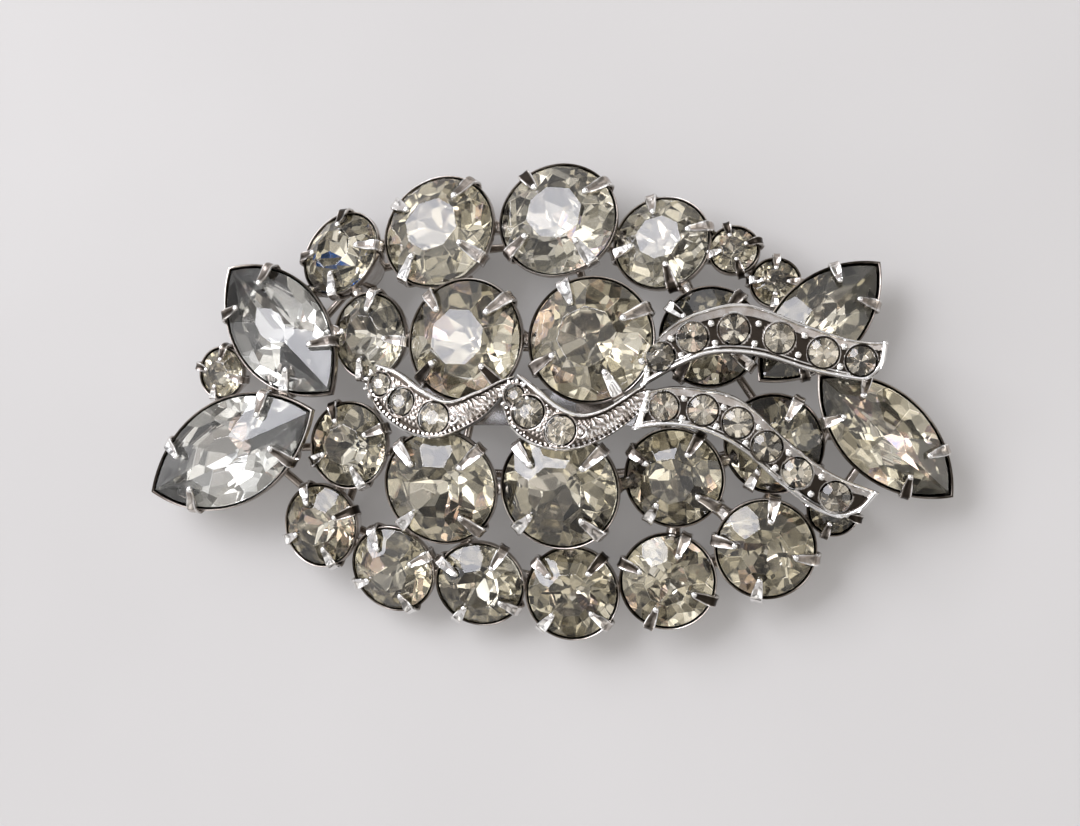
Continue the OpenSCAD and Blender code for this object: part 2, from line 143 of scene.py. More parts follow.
def makeRoom():
    world = bpy.data.worlds.new("room")
    world.use_nodes = True
    bpy.context.scene.world = world
    tree = world.node_tree
    way = addNode(tree, "ShaderNodeTexCoord").outputs["Generated"]
    facing = addNode(tree, "ShaderNodeVectorMath", {"operation": "DOT_PRODUCT"})
    facing.inputs[1].default_value = Vector(lights["window"]["towards"]).normalized()
    tree.links.new(way, facing.inputs[0])
    span = addNode(tree, "ShaderNodeMapRange", From_Min=-1)
    tree.links.new(facing.outputs["Value"], span.inputs["Value"])
    noise = addNode(tree, "ShaderNodeTexNoise", Scale=room["patchScale"], Detail=room["patchDetail"])
    tree.links.new(way, noise.inputs["Vector"])
    brightest = room["brightest"]
    greys = [(at, (level / brightest,) * 3) for at, level in room["patches"]]
    strength = addNode(tree, "ShaderNodeMath", {"operation": "MULTIPLY"})
    strength.inputs[1].default_value = brightest
    tree.links.new(rampFrom(tree, noise.outputs["Fac"], greys), strength.inputs[0])
    background = tree.nodes["Background"]
    tree.links.new(strength.outputs["Value"], background.inputs["Strength"])
    tree.links.new(rampFrom(tree, span.outputs["Result"], room["shades"]), background.inputs["Color"])


makeCamera()
makeLights()
makeRoom()
print("camera and lights made")


# materials

def newMaterial(name):
    material = bpy.data.materials.new(name)
    material.use_nodes = True
    return material, material.node_tree, material.node_tree.nodes["Principled BSDF"]


def noiseAt(tree, size, detail=3.0):
    # blotches of this size in millimetres, fixed to the piece
    place = addNode(tree, "ShaderNodeTexCoord")
    noise = addNode(tree, "ShaderNodeTexNoise", Scale=1 / (size * mm), Detail=detail)
    tree.links.new(place.outputs["Object"], noise.inputs["Vector"])
    return noise.outputs["Fac"]


def remap(tree, source, low, high, fromLow=0.0, fromHigh=1.0):
    node = addNode(tree, "ShaderNodeMapRange", From_Min=fromLow, From_Max=fromHigh, To_Min=low, To_Max=high)
    tree.links.new(source, node.inputs["Value"])
    return node.outputs["Result"]


def attributeOf(tree, name):
    return addNode(tree, "ShaderNodeAttribute", {"attribute_name": name}).outputs["Fac"]


def mottled(tree, name, size, spread, detail=3.0):
    # an attribute of the mesh, made uneven by blotches of this size
    blotches = remap(tree, noiseAt(tree, size, detail), -spread, spread, 0.3, 0.7)
    node = addNode(tree, "ShaderNodeMath", {"operation": "ADD", "use_clamp": True})
    tree.links.new(attributeOf(tree, name), node.inputs[0])
    tree.links.new(blotches, node.inputs[1])
    return node.outputs[0]


def addBump(tree, shader, size, detail, height, strength):
    bump = addNode(tree, "ShaderNodeBump", Strength=strength, Distance=height * mm)
    tree.links.new(noiseAt(tree, size, detail), bump.inputs["Height"])
    tree.links.new(bump.outputs["Normal"], shader.inputs["Normal"])


plating = {
    # colour by how much grime and painted shade a place has
    "clean": (0.88, 0.87, 0.855),
    "dull": (0.44, 0.39, 0.345),
    "grimeAndShade": (0.035, 0.028, 0.022),
    "dullAt": 0.45,
    "roughness": (0.1, 0.34),
    "spots": (0.9, 0.12),  # size, and how much grimier or cleaner
    "grain": (0.12, 2.0, 0.004, 0.5),  # size, detail, height and strength
}


def makePlating(name, look):
    material, tree, shader = newMaterial(name)
    dirtAndShade = mottled(tree, "grimeAndShade", *look["spots"])
    stops = [(0.0, look["clean"]), (look["dullAt"], look["dull"]), (1.0, look["grimeAndShade"])]
    colour = rampFrom(tree, dirtAndShade, stops)
    tree.links.new(colour, shader.inputs["Base Color"])
    tree.links.new(remap(tree, dirtAndShade, *look["roughness"]), shader.inputs["Roughness"])
    addBump(tree, shader, *look["grain"])
    shader.inputs["Metallic"].default_value = 1.0
    return material


glassLooks = {
    # colour by each front facet's painted light, from painted shade to painted reflection
    "champagne_glass": [(0.0, (0.22, 0.205, 0.172)), (0.3, (0.56, 0.53, 0.46)), (0.7, (1.0, 0.975, 0.905))],
    "pale_glass": [(0.0, (0.22, 0.21, 0.19)), (0.3, (0.56, 0.545, 0.505)), (0.7, (1.0, 0.99, 0.965))],
    "clear_glass": [(0.0, (0.3, 0.285, 0.265)), (0.3, (0.64, 0.63, 0.61)), (0.7, (1.0, 1.0, 0.99))],
}
glassFinish = {
    "mottle": (1.5, 0.06),  # size, and how much paler or darker
    "waves": (0.5, 4.0, 0.002, 0.35),  # size, detail, height and strength
    "bending": 1.56,
}


def makeGlass(name, stops):
    material, tree, shader = newMaterial(name)
    tone = mottled(tree, "tone", *glassFinish["mottle"])
    tree.links.new(rampFrom(tree, tone, stops), shader.inputs["Base Color"])
    shader.inputs["Transmission Weight"].default_value = 1.0
    shader.inputs["Roughness"].default_value = 0.0
    shader.inputs["IOR"].default_value = glassFinish["bending"]
    addBump(tree, shader, *glassFinish["waves"])
    return material


foilLooks = {
    # colour by each facet's painted light, from painted shade to painted reflection; the last two stops are
    # painted fire on rare facets
    "champagne_foil": [(0.0, (0.1, 0.09, 0.072)), (0.3, (0.55, 0.52, 0.435)), (0.6, (0.86, 0.825, 0.725)),
                       (0.86, (1.0, 0.985, 0.93)), (0.93, (0.97, 0.78, 0.66)), (1.0, (0.08, 0.27, 0.85))],
    "bright_foil": [(0.0, (0.04, 0.035, 0.03)), (0.3, (0.36, 0.335, 0.295)), (0.6, (0.85, 0.81, 0.74)),
                    (0.86, (0.98, 0.96, 0.92)), (0.93, (0.9, 0.75, 0.66)), (1.0, (0.6, 0.7, 0.9))],
    "silver_foil": [(0.0, (0.11, 0.095, 0.08)), (0.3, (0.5, 0.485, 0.45)), (0.6, (0.84, 0.835, 0.8)),
                    (0.86, (1.0, 1.0, 0.98)), (0.93, (0.93, 0.8, 0.72)), (1.0, (0.5, 0.64, 0.9))],
}
foilFinish = {
    "roughness": (0.01, 0.08),
    "metallic": 0.9,
    "mottle": (0.7, 0.03, 4.0),  # size, how much paler or darker, and detail
}


def makeFoil(name, stops):
    material, tree, shader = newMaterial(name)
    tone = mottled(tree, "tone", *foilFinish["mottle"])
    roughness = remap(tree, attributeOf(tree, "frost"), *foilFinish["roughness"])
    tree.links.new(rampFrom(tree, tone, stops), shader.inputs["Base Color"])
    tree.links.new(roughness, shader.inputs["Roughness"])
    shader.inputs["Metallic"].default_value = foilFinish["metallic"]
    return material


floorLook = {
    "deep": (0.35, 0.34, 0.335),
    "pale": (0.385, 0.375, 0.37),
    "patches": 60,
    "roughness": 0.9,
    "paintedGlow": 0.16,  # painted light: the floor glows to lighten the shadow under and between the stones
    "paintedGlowColour": (1.0, 0.965, 0.945, 1.0),
    "side": 3,  # metres
    "below": 0.02,
}


def makeFloor():
    material, tree, shader = newMaterial("floor_cloth")
    patches = noiseAt(tree, floorLook["patches"])
    colour = rampFrom(tree, patches, [(0.3, floorLook["deep"]), (0.7, floorLook["pale"])])
    tree.links.new(colour, shader.inputs["Base Color"])
    shader.inputs["Roughness"].default_value = floorLook["roughness"]
    # the floor glows a little: painted light in the shadow under the brooch
    shader.inputs["Emission Color"].default_value = floorLook["paintedGlowColour"]
    shader.inputs["Emission Strength"].default_value = floorLook["paintedGlow"]
    bpy.ops.mesh.primitive_plane_add(size=floorLook["side"], location=(0, 0, -floorLook["below"] * mm))
    floor = bpy.context.object
    floor.name = "floor"
    floor.data.materials.append(material)


rhodium = makePlating("rhodium", plating)
glasses = {name: makeGlass(name, look) for name, look in glassLooks.items()}
foils = {name: makeFoil(name, stops) for name, stops in foilLooks.items()}
makeFloor()
print("materials made")


# stones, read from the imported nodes

def islandsOf(node):
    # points of each loose solid of a node, in millimetres
    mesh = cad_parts[node].data
    keys = [tuple(round(c / mm, 3) for c in v.co) for v in mesh.vertices]
    parent = {key: key for key in keys}

    def rootOf(key):
        while parent[key] != key:
            parent[key] = parent[parent[key]]
            key = parent[key]
        return key

    for face in mesh.polygons:
        first = rootOf(keys[face.vertices[0]])
        for i in face.vertices[1:]:
            parent[rootOf(keys[i])] = first
    groups = {}
    for key in parent:
        groups.setdefault(rootOf(key), []).append(Vector(key))
    return sorted(groups.values(), key=lambda points: min(p.x for p in points))


reading = {
    "same": 0.01,  # points closer than this are one
    "level": 0.05,  # points of the girdle lie within this
    "longFrom": 1.2,  # a stone this much longer than wide is a navette
}


def gemFrom(points, turn=0):
    # a gem's girdle, axes and size, from its pointed back and the rings above it
    tip = min(points, key=lambda p: p.z)
    rings = [p for p in points if (p - tip).length > reading["same"]]
    up = (sum(rings, Vector()) / len(rings) - tip).normalized()
    heights = [(p - tip).dot(up) for p in rings]
    girdle = [p for p, h in zip(rings, heights) if h < min(heights) + reading["level"]]
    centre = tip + up * min(heights)
    reach = [(p - centre).length for p in girdle]
    width, length = 2 * min(reach), 2 * max(reach)
    isLong = length > reading["longFrom"] * width
    if isLong:
        ahead = (girdle[reach.index(max(reach))] - centre).normalized()
    else:
        ahead = Matrix.Rotation(math.radians(turn), 3, up) @ Vector((0, 1, 0)).cross(up).normalized()
        width = length
    place = Matrix((ahead, up.cross(ahead), up)).transposed().to_4x4()
    place.translation = centre
    return {"place": place, "up": up, "centre": centre, "width": width, "length": length,
            "isLong": isLong, "depth": min(heights)}


stoneCut = {
    "outline": 64,  # points round a main stone, and round a small one
    "smallOutline": 32,
    "table": 0.5,  # as a share of the width, and so are the next three
    "longTable": 0.3,
    "crown": 0.18,
    "girdle": 0.012,
    "crownBreak": 0.8,  # where the small crown facets start, as a share of the radius
    # tiers of back facets: how many to the round, how far on they start, and two places that each one's
    # slope runs through, as shares of the radius and of the depth
    "backTiers": [(1, 0.0, (0.0, 1.0), (0.3, 0.77)), (2, 0.5, (0.3, 0.775), (0.55, 0.545)),
                  (1, 0.5, (0.55, 0.545), (0.78, 0.3)), (2, 0.5, (0.78, 0.3), (1.0, 0.017))],
    "smallBackTiers": [(1, 0.0, (0.0, 1.0), (1.0, 0.03)), (1, 0.5, (0.45, 0.6), (1.0, 0.03))],
    "smallBelow": 3,  # a stone narrower than this has the small stones' back
    "sides": 8,
    # cuts across the back facets at a long stone's tips: angle from its axis, and place as a share of
    # half its length
    "tipCuts": [(0.2, 1.0), (-0.24, 1.0), (0.5, 0.97), (-0.45, 0.97), (1.45, 0.88), (-1.7, 0.76),
                (1.62, 0.66)],
    "tipFrom": 0.3,  # facets whose middle lies further out than this share of the length
    "unevenTurn": 0.05,  # hand polished: facets off their place by up to this angle and share
    "unevenSlope": 0.05,
    "unevenBackTurn": 0.13,
    "unevenBackSlope": 0.07,
    "snap": 0.0005,  # a cut this close to a corner runs through it
    "slopeFrom": 0.05,  # faces with a normal this steep belong to the front or the back
    "tableFrom": 0.99,
    "spotFrom": 0.3,  # smaller faces aren't painted one by one, in square millimetres
}


def circlePoints(radius, count, height=0.0):
    turns = [2 * math.pi * i / count for i in range(count)]
    return [Vector((radius * math.cos(a), radius * math.sin(a), height)) for a in turns]


def arcOf(length, width):
    # radius and half angle of a pointed oval's sides
    radius = (length ** 2 + width ** 2) / (4 * width)
    return radius, math.asin(length / 2 / radius)


def ovalPoints(length, width, count):
    # outline of a pointed oval, anticlockwise from its right tip
    r, half = arcOf(length, width)
    points = []
    for side in (1, -1):
        for i in range(count // 2):
            a = half - 2 * half * i / (count // 2)
            points.append(Vector((side * r * math.sin(a), side * (r * math.cos(a) - r + width / 2))))
    return points


def outlineOf(gem, grow=0.0, count=64):
    if gem["isLong"]:
        return ovalPoints(gem["length"] + 4 * grow, gem["width"] + 2 * grow, count)
    return [p.xy for p in circlePoints(gem["width"] / 2 + grow, count)]


def supportOf(outline, azimuth):
    across = Vector((math.cos(azimuth), math.sin(azimuth)))
    return max(p.dot(across) for p in outline)


def sliceOff(bm, azimuth, inner, outer):
    # takes away what lies outside the plane through two (distance, height) points at this azimuth
    rise = Vector((inner[1] - outer[1], outer[0] - inner[0]))
    if rise.x < 0:
        rise.negate()
    normal = Vector((math.cos(azimuth) * rise.x, math.sin(azimuth) * rise.x, rise.y)).normalized()
    place = Vector((math.cos(azimuth) * inner[0], math.sin(azimuth) * inner[0], inner[1]))
    everything = bm.verts[:] + bm.edges[:] + bm.faces[:]
    cut = bmesh.ops.bisect_plane(bm, geom=everything, dist=stoneCut["snap"], plane_co=place,
                                 plane_no=normal, clear_outer=True)
    edges = [e for e in cut["geom_cut"] if isinstance(e, bmesh.types.BMEdge)]
    if len(edges) > 2:
        bmesh.ops.edgeloop_fill(bm, edges=edges)


def facetWays(gem, times=1, shift=0.0, tips=True):
    # azimuths of a ring of facets, each turned on by a share of the space between two
    sides = stoneCut["sides"] * times
    if not gem["isLong"]:
        return [(i + shift) * 2 * math.pi / sides for i in range(sides)]
    half = arcOf(gem["length"], gem["width"])[1]
    perSide = sides // 2
    shares = [2 * (i + 0.5 + shift) / perSide - 1 for i in range(perSide)]
    ways = [side + share * half for side in (math.pi / 2, -math.pi / 2) for share in shares if share < 0.99]
    return ways + ([0, math.pi] if tips and not shift else [])


def blockFrom(outline, bottom, top):
    bm = bmesh.new()
    low = [bm.verts.new((p.x, p.y, bottom)) for p in outline]
    high = [bm.verts.new((p.x, p.y, top)) for p in outline]
    bm.faces.new(list(reversed(low)))
    bm.faces.new(high)
    for i in range(len(outline)):
        j = (i + 1) % len(outline)
        bm.faces.new((low[i], low[j], high[j], high[i]))
    return bm


def cutStone(gem, outlineCount, dice):
    # a block of the girdle's outline, a little deeper than the stone, cut facet by facet
    outline = outlineOf(gem, 0, outlineCount)
    width, high, deep = gem["width"], stoneCut["crown"] * gem["width"], gem["depth"]
    bm = blockFrom(outline, -1.1 * deep, high)
    cutCrown(bm, gem, outline, high, dice)
    tiers = stoneCut["backTiers"] if width > stoneCut["smallBelow"] else stoneCut["smallBackTiers"]
    turn, slope = stoneCut["unevenBackTurn"], stoneCut["unevenBackSlope"]
    for times, shift, inner, outer in tiers:
        for way in facetWays(gem, times, shift):
            way += dice.uniform(-turn, turn) / times
            reach = supportOf(outline, way)
            level = 1 - dice.uniform(0, slope)
            sliceOff(bm, way, (inner[0] * reach, -inner[1] * deep * level),
                     (outer[0] * reach, -outer[1] * deep))
    bmesh.ops.recalc_face_normals(bm, faces=bm.faces[:])
    bm.normal_update()
    if gem["isLong"]:
        splitTips(bm, gem)
    return bm


def cutCrown(bm, gem, outline, high, dice):
    # main facets from the table to the girdle, then small ones between them
    edge = stoneCut["girdle"] * gem["width"]
    spread = math.cos(math.pi / stoneCut["sides"])
    turn, slope = stoneCut["unevenTurn"], stoneCut["unevenSlope"]
    table = stoneCut["longTable"] if gem["isLong"] else stoneCut["table"]
    rise = (high - edge) / (1 - table * spread)
    for way in facetWays(gem, tips=False):
        way += dice.uniform(-turn, turn)
        reach = supportOf(outline, way)
        sliceOff(bm, way, (table * spread * reach, high), (reach, edge))
    for way in facetWays(gem, 1, 0.5):
        way += dice.uniform(-turn, turn)
        reach = supportOf(outline, way)
        near = stoneCut["crownBreak"] + dice.uniform(-slope, slope)
        sliceOff(bm, way, (near * reach, high - rise * (near - table) * spread), (reach, edge))


def splitTips(bm, gem):
    # smaller back facets at the tips, all in the planes that are there
    for end in (1, -1):
        for angle, share in stoneCut["tipCuts"]:
            place = Vector((end * share * gem["length"] / 2, 0, 0))
            across = Vector((-math.sin(angle), math.cos(angle), 0))
            faces = [face for face in bm.faces
                     if face.normal.z < -stoneCut["slopeFrom"]
                     and end * face.calc_center_median().x > stoneCut["tipFrom"] * gem["length"]]
            edges = {edge for face in faces for edge in face.edges}
            corners = {corner for face in faces for corner in face.verts}
            bmesh.ops.bisect_plane(bm, geom=[*faces, *edges, *corners], dist=stoneCut["snap"],
                                   plane_co=place, plane_no=across)


stoneLooks = {
    # turn of the claws, share of facets with a painted reflection, share of facets with painted shade
    "top_stone_1": (5, 0.25, 0.4), "top_stone_2": (59, 0.45, 0.15), "top_stone_3": (39, 0.5, 0.15),
    "top_stone_4": (17, 0.4, 0.2), "top_stone_5": (17, 0.35, 0.2), "top_stone_6": (88, 0.3, 0.25),
    "upper_stone_1": (80, 0.5, 0.1), "upper_stone_2": (41, 0.4, 0.2), "upper_stone_3": (28, 0.35, 0.15),
    "upper_stone_4": (54, 0.15, 0.5), "lower_stone_1": (22, 0.4, 0.2), "lower_stone_2": (41, 0.35, 0.2),
    "lower_stone_3": (41, 0.35, 0.15), "lower_stone_4": (57, 0.2, 0.35), "lower_stone_5": (60, 0.25, 0.3),
    "bottom_stone_1": (20, 0.35, 0.15), "bottom_stone_2": (20, 0.3, 0.25),
    "bottom_stone_3": (55, 0.2, 0.35), "bottom_stone_4": (49, 0.3, 0.15),
    "bottom_stone_5": (68, 0.35, 0.1), "bottom_stone_6": (80, 0.35, 0.1),
    "bottom_stone_7": (72, 0.3, 0.3), "side_stone": (74, 0.5, 0.15),
    "left_navette_upper": (0, 0.5, 0.25), "left_navette_lower": (0, 0.65, 0.1),
    "right_navette_upper": (0, 0.75, 0.05), "right_navette_lower": (0, 0.6, 0.1),
}
clearStones = ("left_navette_upper", "left_navette_lower")
paleStones = ("top_stone_3", "top_stone_4", "upper_stone_1")
paintedFacetLight = {
    # painted light on the facets: 0 is painted shade and 1 a painted reflection on the glass; the foil's
    # last tones are its painted fire
    "pale": (0.7, 0.86),
    "middle": (0.3, 0.62),
    "dark": (0.0, 0.2),
    "front": (0.0, 0.8),
    "table": 0.75,
    "fire": 0.93,
    "fireShare": 0.045,
    "blue": 1.0,
}
wornEdgeWithHighlight = {"width": 0.04, "onStone": 9, "drop": 0.12, "tone": 0.85, "frost": 0.6}  # of a facet: a real worn bevel, with a painted highlight in its pale tone
paintedBlueFire = {"top_stone_1": (-1.45, 0.1)}  # painted blue fire on a back facet: place from the stone's middle
paintedFrontLight = {
    # painted reflection and shade on single front facets: place from the stone's middle, and tone
    "left_navette_upper": [(-4.4, 3.8, 0.3), (-2.1, 4.2, 0.6), (0, 4.5, 0.1), (1.9, 3.1, 0.2),
                           (-2.5, 0.2, 0.15), (-0.6, -1.9, 0.4), (3.4, 0.8, 1.0), (3.1, -3.0, 0.8),
                           (0.7, -3.8, 1.0)],
    "left_navette_lower": [(-2.3, 2.4, 0.6), (0.2, 3.1, 1.0), (2.3, 3.1, 1.0), (5.0, 2.8, 0.9),
                           (-1.9, -2.7, 0.45), (-0.6, -3.1, 0.0), (1.9, -2.5, 0.45), (4.2, -2.2, 0.8),
                           (-5.6, -2.0, 0.8), (-4.6, -1.4, 0.6)],
    "right_navette_upper": [(3.0, 4.0, 0.8), (4.2, 2.9, 0.6)],
    "right_navette_lower": [(4.4, -2.8, 0.8), (3.4, -4.2, 0.6), (-3.2, 3.9, 0.6), (-4.4, 2.9, 0.7)],
}


def drawPaintedLight(dice, pale, dark):
    if dice.random() < paintedFacetLight["fireShare"]:
        return paintedFacetLight["fire"]
    draw = dice.random()
    if draw < pale:
        return dice.uniform(*paintedFacetLight["pale"])
    if draw < pale + dark:
        return dice.uniform(*paintedFacetLight["dark"])
    return dice.uniform(*paintedFacetLight["middle"])


def fillMesh(name, bm, materials, place=None):
    # the finished mesh in metres, as an object that rides on the brooch
    bm.transform(Matrix.Scale(mm, 4) @ (place or Matrix.Identity(4)))
    mesh = bpy.data.meshes.new(name)
    bm.to_mesh(mesh)
    bm.free()
    for material in materials:
        mesh.materials.append(material)
    obj = addObject(name, mesh)
    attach(obj, body)
    return obj


def paintFacets(bm, dice, pale, dark, size):
    # a painted light, from painted shade to painted reflection, and a polish for each facet, and a fine worn
    # edge round it
    tone = bm.faces.layers.float.new("tone")
    frost = bm.faces.layers.float.new("frost")
    facets = [face for face in bm.faces if face.normal.z > stoneCut["slopeFrom"]]
    for face in bm.faces:
        isBack = face.normal.z < -stoneCut["slopeFrom"]
        face.material_index = 1 if isBack else 0
        face[tone] = drawPaintedLight(dice, pale, dark) if isBack else dice.uniform(*paintedFacetLight["front"])
        face[frost] = dice.random()
        if face.normal.z > stoneCut["tableFrom"]:
            face[tone] = paintedFacetLight["table"]
    wide = wornEdgeWithHighlight["width"] * math.sqrt(size / wornEdgeWithHighlight["onStone"])
    edges = bmesh.ops.inset_individual(bm, faces=facets, thickness=wide, depth=wornEdgeWithHighlight["drop"] * wide)
    for face in edges["faces"]:
        face[tone] = wornEdgeWithHighlight["tone"]
        face[frost] = wornEdgeWithHighlight["frost"]


def paintSpot(bm, gem, spot, value, side):
    # one facet of the front (0) or the back (1) of a stone, under this place on it, gets its own painted
    # light
    tone = bm.faces.layers.float["tone"]
    local = gem["place"].to_3x3().inverted() @ Vector((*spot, 0))
    facets = [face for face in bm.faces
              if face.material_index == side and face.calc_area() > stoneCut["spotFrom"]]
    nearest = min(facets, key=lambda face: (face.calc_center_median().xy - local.xy).length)
    nearest[tone] = value


def makeStone(node):
    turn, pale, dark = stoneLooks[node]
    gem = gemFrom(islandsOf(node)[0], turn)
    dice = random.Random(node)
    bm = cutStone(gem, stoneCut["outline"], dice)
    paintFacets(bm, dice, pale, dark, gem["width"])
    if node in paintedBlueFire:
        paintSpot(bm, gem, paintedBlueFire[node], paintedFacetLight["blue"], 1)
    for x, y, value in paintedFrontLight.get(node, []):
        paintSpot(bm, gem, (x, y), value, 0)
    glass, foil = "champagne_glass", "champagne_foil"
    if node in clearStones:
        glass, foil = "clear_glass", "silver_foil"
    elif node in paleStones:
        glass = "pale_glass"
    obj = fillMesh("cut_" + node, bm, [glasses[glass], foils[foil]], gem["place"])
    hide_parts(node)
    return gem


smallLooks = {
    # share of facets with a painted reflection, share of facets with painted shade
    "upper_ribbon_stones": (0.55, 0.28), "lower_ribbon_stones": (0.55, 0.28), "scroll_stones": (0.7, 0.15),
}


def makeSmallStones(node, dice):
    gems = [gemFrom(points) for points in islandsOf(node)]
    whole = bmesh.new()
    for gem in gems:
        bm = cutStone(gem, stoneCut["smallOutline"], dice)
        paintFacets(bm, dice, *smallLooks[node], gem["width"])
        bm.transform(gem["place"])
        scratch = bpy.data.meshes.new("scratch")
        bm.to_mesh(scratch)
        whole.from_mesh(scratch)
        bm.free()
        bpy.data.meshes.remove(scratch)
    obj = fillMesh("cut_" + node, whole, [glasses["champagne_glass"], foils["bright_foil"]])
    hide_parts(node)
    return gems


gems = {node: makeStone(node) for node in stoneLooks}
print("main stones cut:", len(gems))
smallGems = {node: makeSmallStones(node, random.Random(node)) for node in smallLooks}
print("small stones cut:", sum(len(g) for g in smallGems.values()))


# metal shapes are gathered as points, faces and a value of grime and painted shade for each point

sharpFrom = 38  # degrees between two faces that meet in an edge
footShade = 0.35  # how much painted shade a bead has at its foot


def newShape():
    return {"points": [], "faces": [], "grimeAndShade": []}


def addRings(shape, rings, grimeAndShadeRows, place=None):
    # skin over rings of equal count, in order, closed at both ends
    start, count = len(shape["points"]), len(rings[0])
    for ring, grimeAndShade in zip(rings, grimeAndShadeRows):
        for i, p in enumerate(ring):
            shape["points"].append(place @ p if place else p)
            shape["grimeAndShade"].append(grimeAndShade[i] if isinstance(grimeAndShade, (list, tuple)) else grimeAndShade)
    for k in range(len(rings) - 1):
        for i in range(count):
            j = (i + 1) % count
            a, b = start + k * count, start + (k + 1) * count
            shape["faces"].append((a + i, a + j, b + j, b + i))
    shape["faces"].append(tuple(start + i for i in reversed(range(count))))
    shape["faces"].append(tuple(start + (len(rings) - 1) * count + i for i in range(count)))


def addBall(shape, centre, radius, up, flat, grimeAndShade=0.0, sides=14):
    # a round bead, flattened along up, darker towards its foot with painted shade
    turn = up.to_track_quat("Z", "Y").to_matrix()
    rings, grimeAndShadeRows = [], []
    rows = sides // 2
    for k in range(1, rows):
        a = math.pi * k / rows
        h, r = -math.cos(a) * radius * flat, math.sin(a) * radius
        rings.append([centre + turn @ p for p in circlePoints(r, sides, h)])
        grimeAndShadeRows.append(grimeAndShade + footShade * max(0, -h / radius))
    addRings(shape, rings, grimeAndShadeRows)


def addTube(shape, path, radii, sides, grimeAndShade):
    # a round bar along a path, with a radius at each point
    rings = []
    for i, p in enumerate(path):
        ahead = (path[min(i + 1, len(path) - 1)] - path[max(i - 1, 0)]).normalized()
        turn = ahead.to_track_quat("Z", "Y").to_matrix()
        rings.append([p + turn @ q for q in circlePoints(radii[i], sides)])
    addRings(shape, rings, [grimeAndShade] * len(rings))


def objectFrom(name, shape):
    mesh = bpy.data.meshes.new(name)
    mesh.from_pydata([p * mm for p in shape["points"]], [], shape["faces"])
    # each point's grime and painted shade, which the plating turns into colour
    mesh.attributes.new("grimeAndShade", "FLOAT", "POINT").data.foreach_set("value", shape["grimeAndShade"])
    return addObject(name, mesh)


def finishShape(name, shape, drills=()):
    obj = objectFrom(name, shape)
    obj.data.materials.append(rhodium)
    if drills:
        drillHoles(obj, drills)
    obj.data.polygons.foreach_set("use_smooth", [True] * len(obj.data.polygons))
    obj.data.set_sharp_from_angle(angle=math.radians(sharpFrom))
    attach(obj, body)
    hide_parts("metalwork")


def drillHoles(obj, drills):
    # one cut for each drill, because neighbouring drills may run into each other
    tools = []
    for shape in drills:
        tool = objectFrom("drill", shape)
        cut = obj.modifiers.new("hole", "BOOLEAN")
        cut.operation = "DIFFERENCE"
        cut.solver = "EXACT"
        cut.object = tool
        tools.append(tool)
    bpy.context.view_layer.update()
    done = bpy.data.meshes.new_from_object(obj.evaluated_get(bpy.context.evaluated_depsgraph_get()))
    obj.modifiers.clear()
    obj.data = done
    for tool in tools:
        bpy.data.objects.remove(tool)


# cups with their claws

cup = {
    "gap": 0.15,  # round the stone
    "wall": 0.13,
    "floor": 1.0,  # below the stone's point
    "rise": 0.15,  # of the rim over the girdle
    "bevel": 0.035,
    "band": 0.35,  # upright part of the wall under the girdle
    "swell": 0.06,
    "base": (0.2, 0.35),  # share of the stone's width, and a length added
    "navetteBase": (0.6, 0.5),
    "rimShade": (0.75, 0.3, 0.25),  # painted shade on the rim: mean, and how much it varies once and three times round
    # bowl that stays clear of the stone's back: how far in, share of the stone's depth, and how far below
    "bowl": [(0.4, 0.72, 0.25), (0.97, 1.0, 0.4)],
    "segments": 64,
}
claw = {
    "reach": (0.15, 0.25),  # share of the stone's width, and a length added
    "root": (0.12, 0.4),
    "width": (0.07, 0.5),
    "thick": 0.3,
    "ball": 0.08,  # height of the tip's bead over the claw's end
    "dish": 0.5,  # depth of the hollow face, as a share of the thickness
    "tipShare": 0.48,
    "dishShade": (0.1, 0.3, 0.7, 1.3),  # painted shade on the dished face, of one claw or another
    "shadedSide": Vector((0.8, 0.6)),  # claws on this side of a stone get more painted shade
    "sideShade": 0.4,
    "count": 4,
    "navettePlace": 0.62,
}


def grown(rule, size):
    return rule[0] * size + rule[1]


def cupRing(gem, grow, height, longShare=None):
    # the girdle's outline, grown, or a long stone's at these shares of its length and width
    if longShare and gem["isLong"]:
        points = ovalPoints(longShare[0] * gem["length"], longShare[1] * gem["width"], cup["segments"])
    else:
        points = outlineOf(gem, grow, cup["segments"])
    return [Vector((p.x, p.y, height)) for p in points]


def blendRings(a, b, t):
    return [p.lerp(q, t) for p, q in zip(a, b)]


def shadedRim(dice, count):
    # a painted shade for each point round a rim, lighter along some arcs only
    first, second = dice.uniform(0, 6.28), dice.uniform(0, 6.28)  # where the arcs begin
    mean, once, thrice = cup["rimShade"]
    turns = [2 * math.pi * i / count for i in range(count)]
    return [mean + once * math.sin(a + first) + thrice * math.sin(3 * a + second) for a in turns]


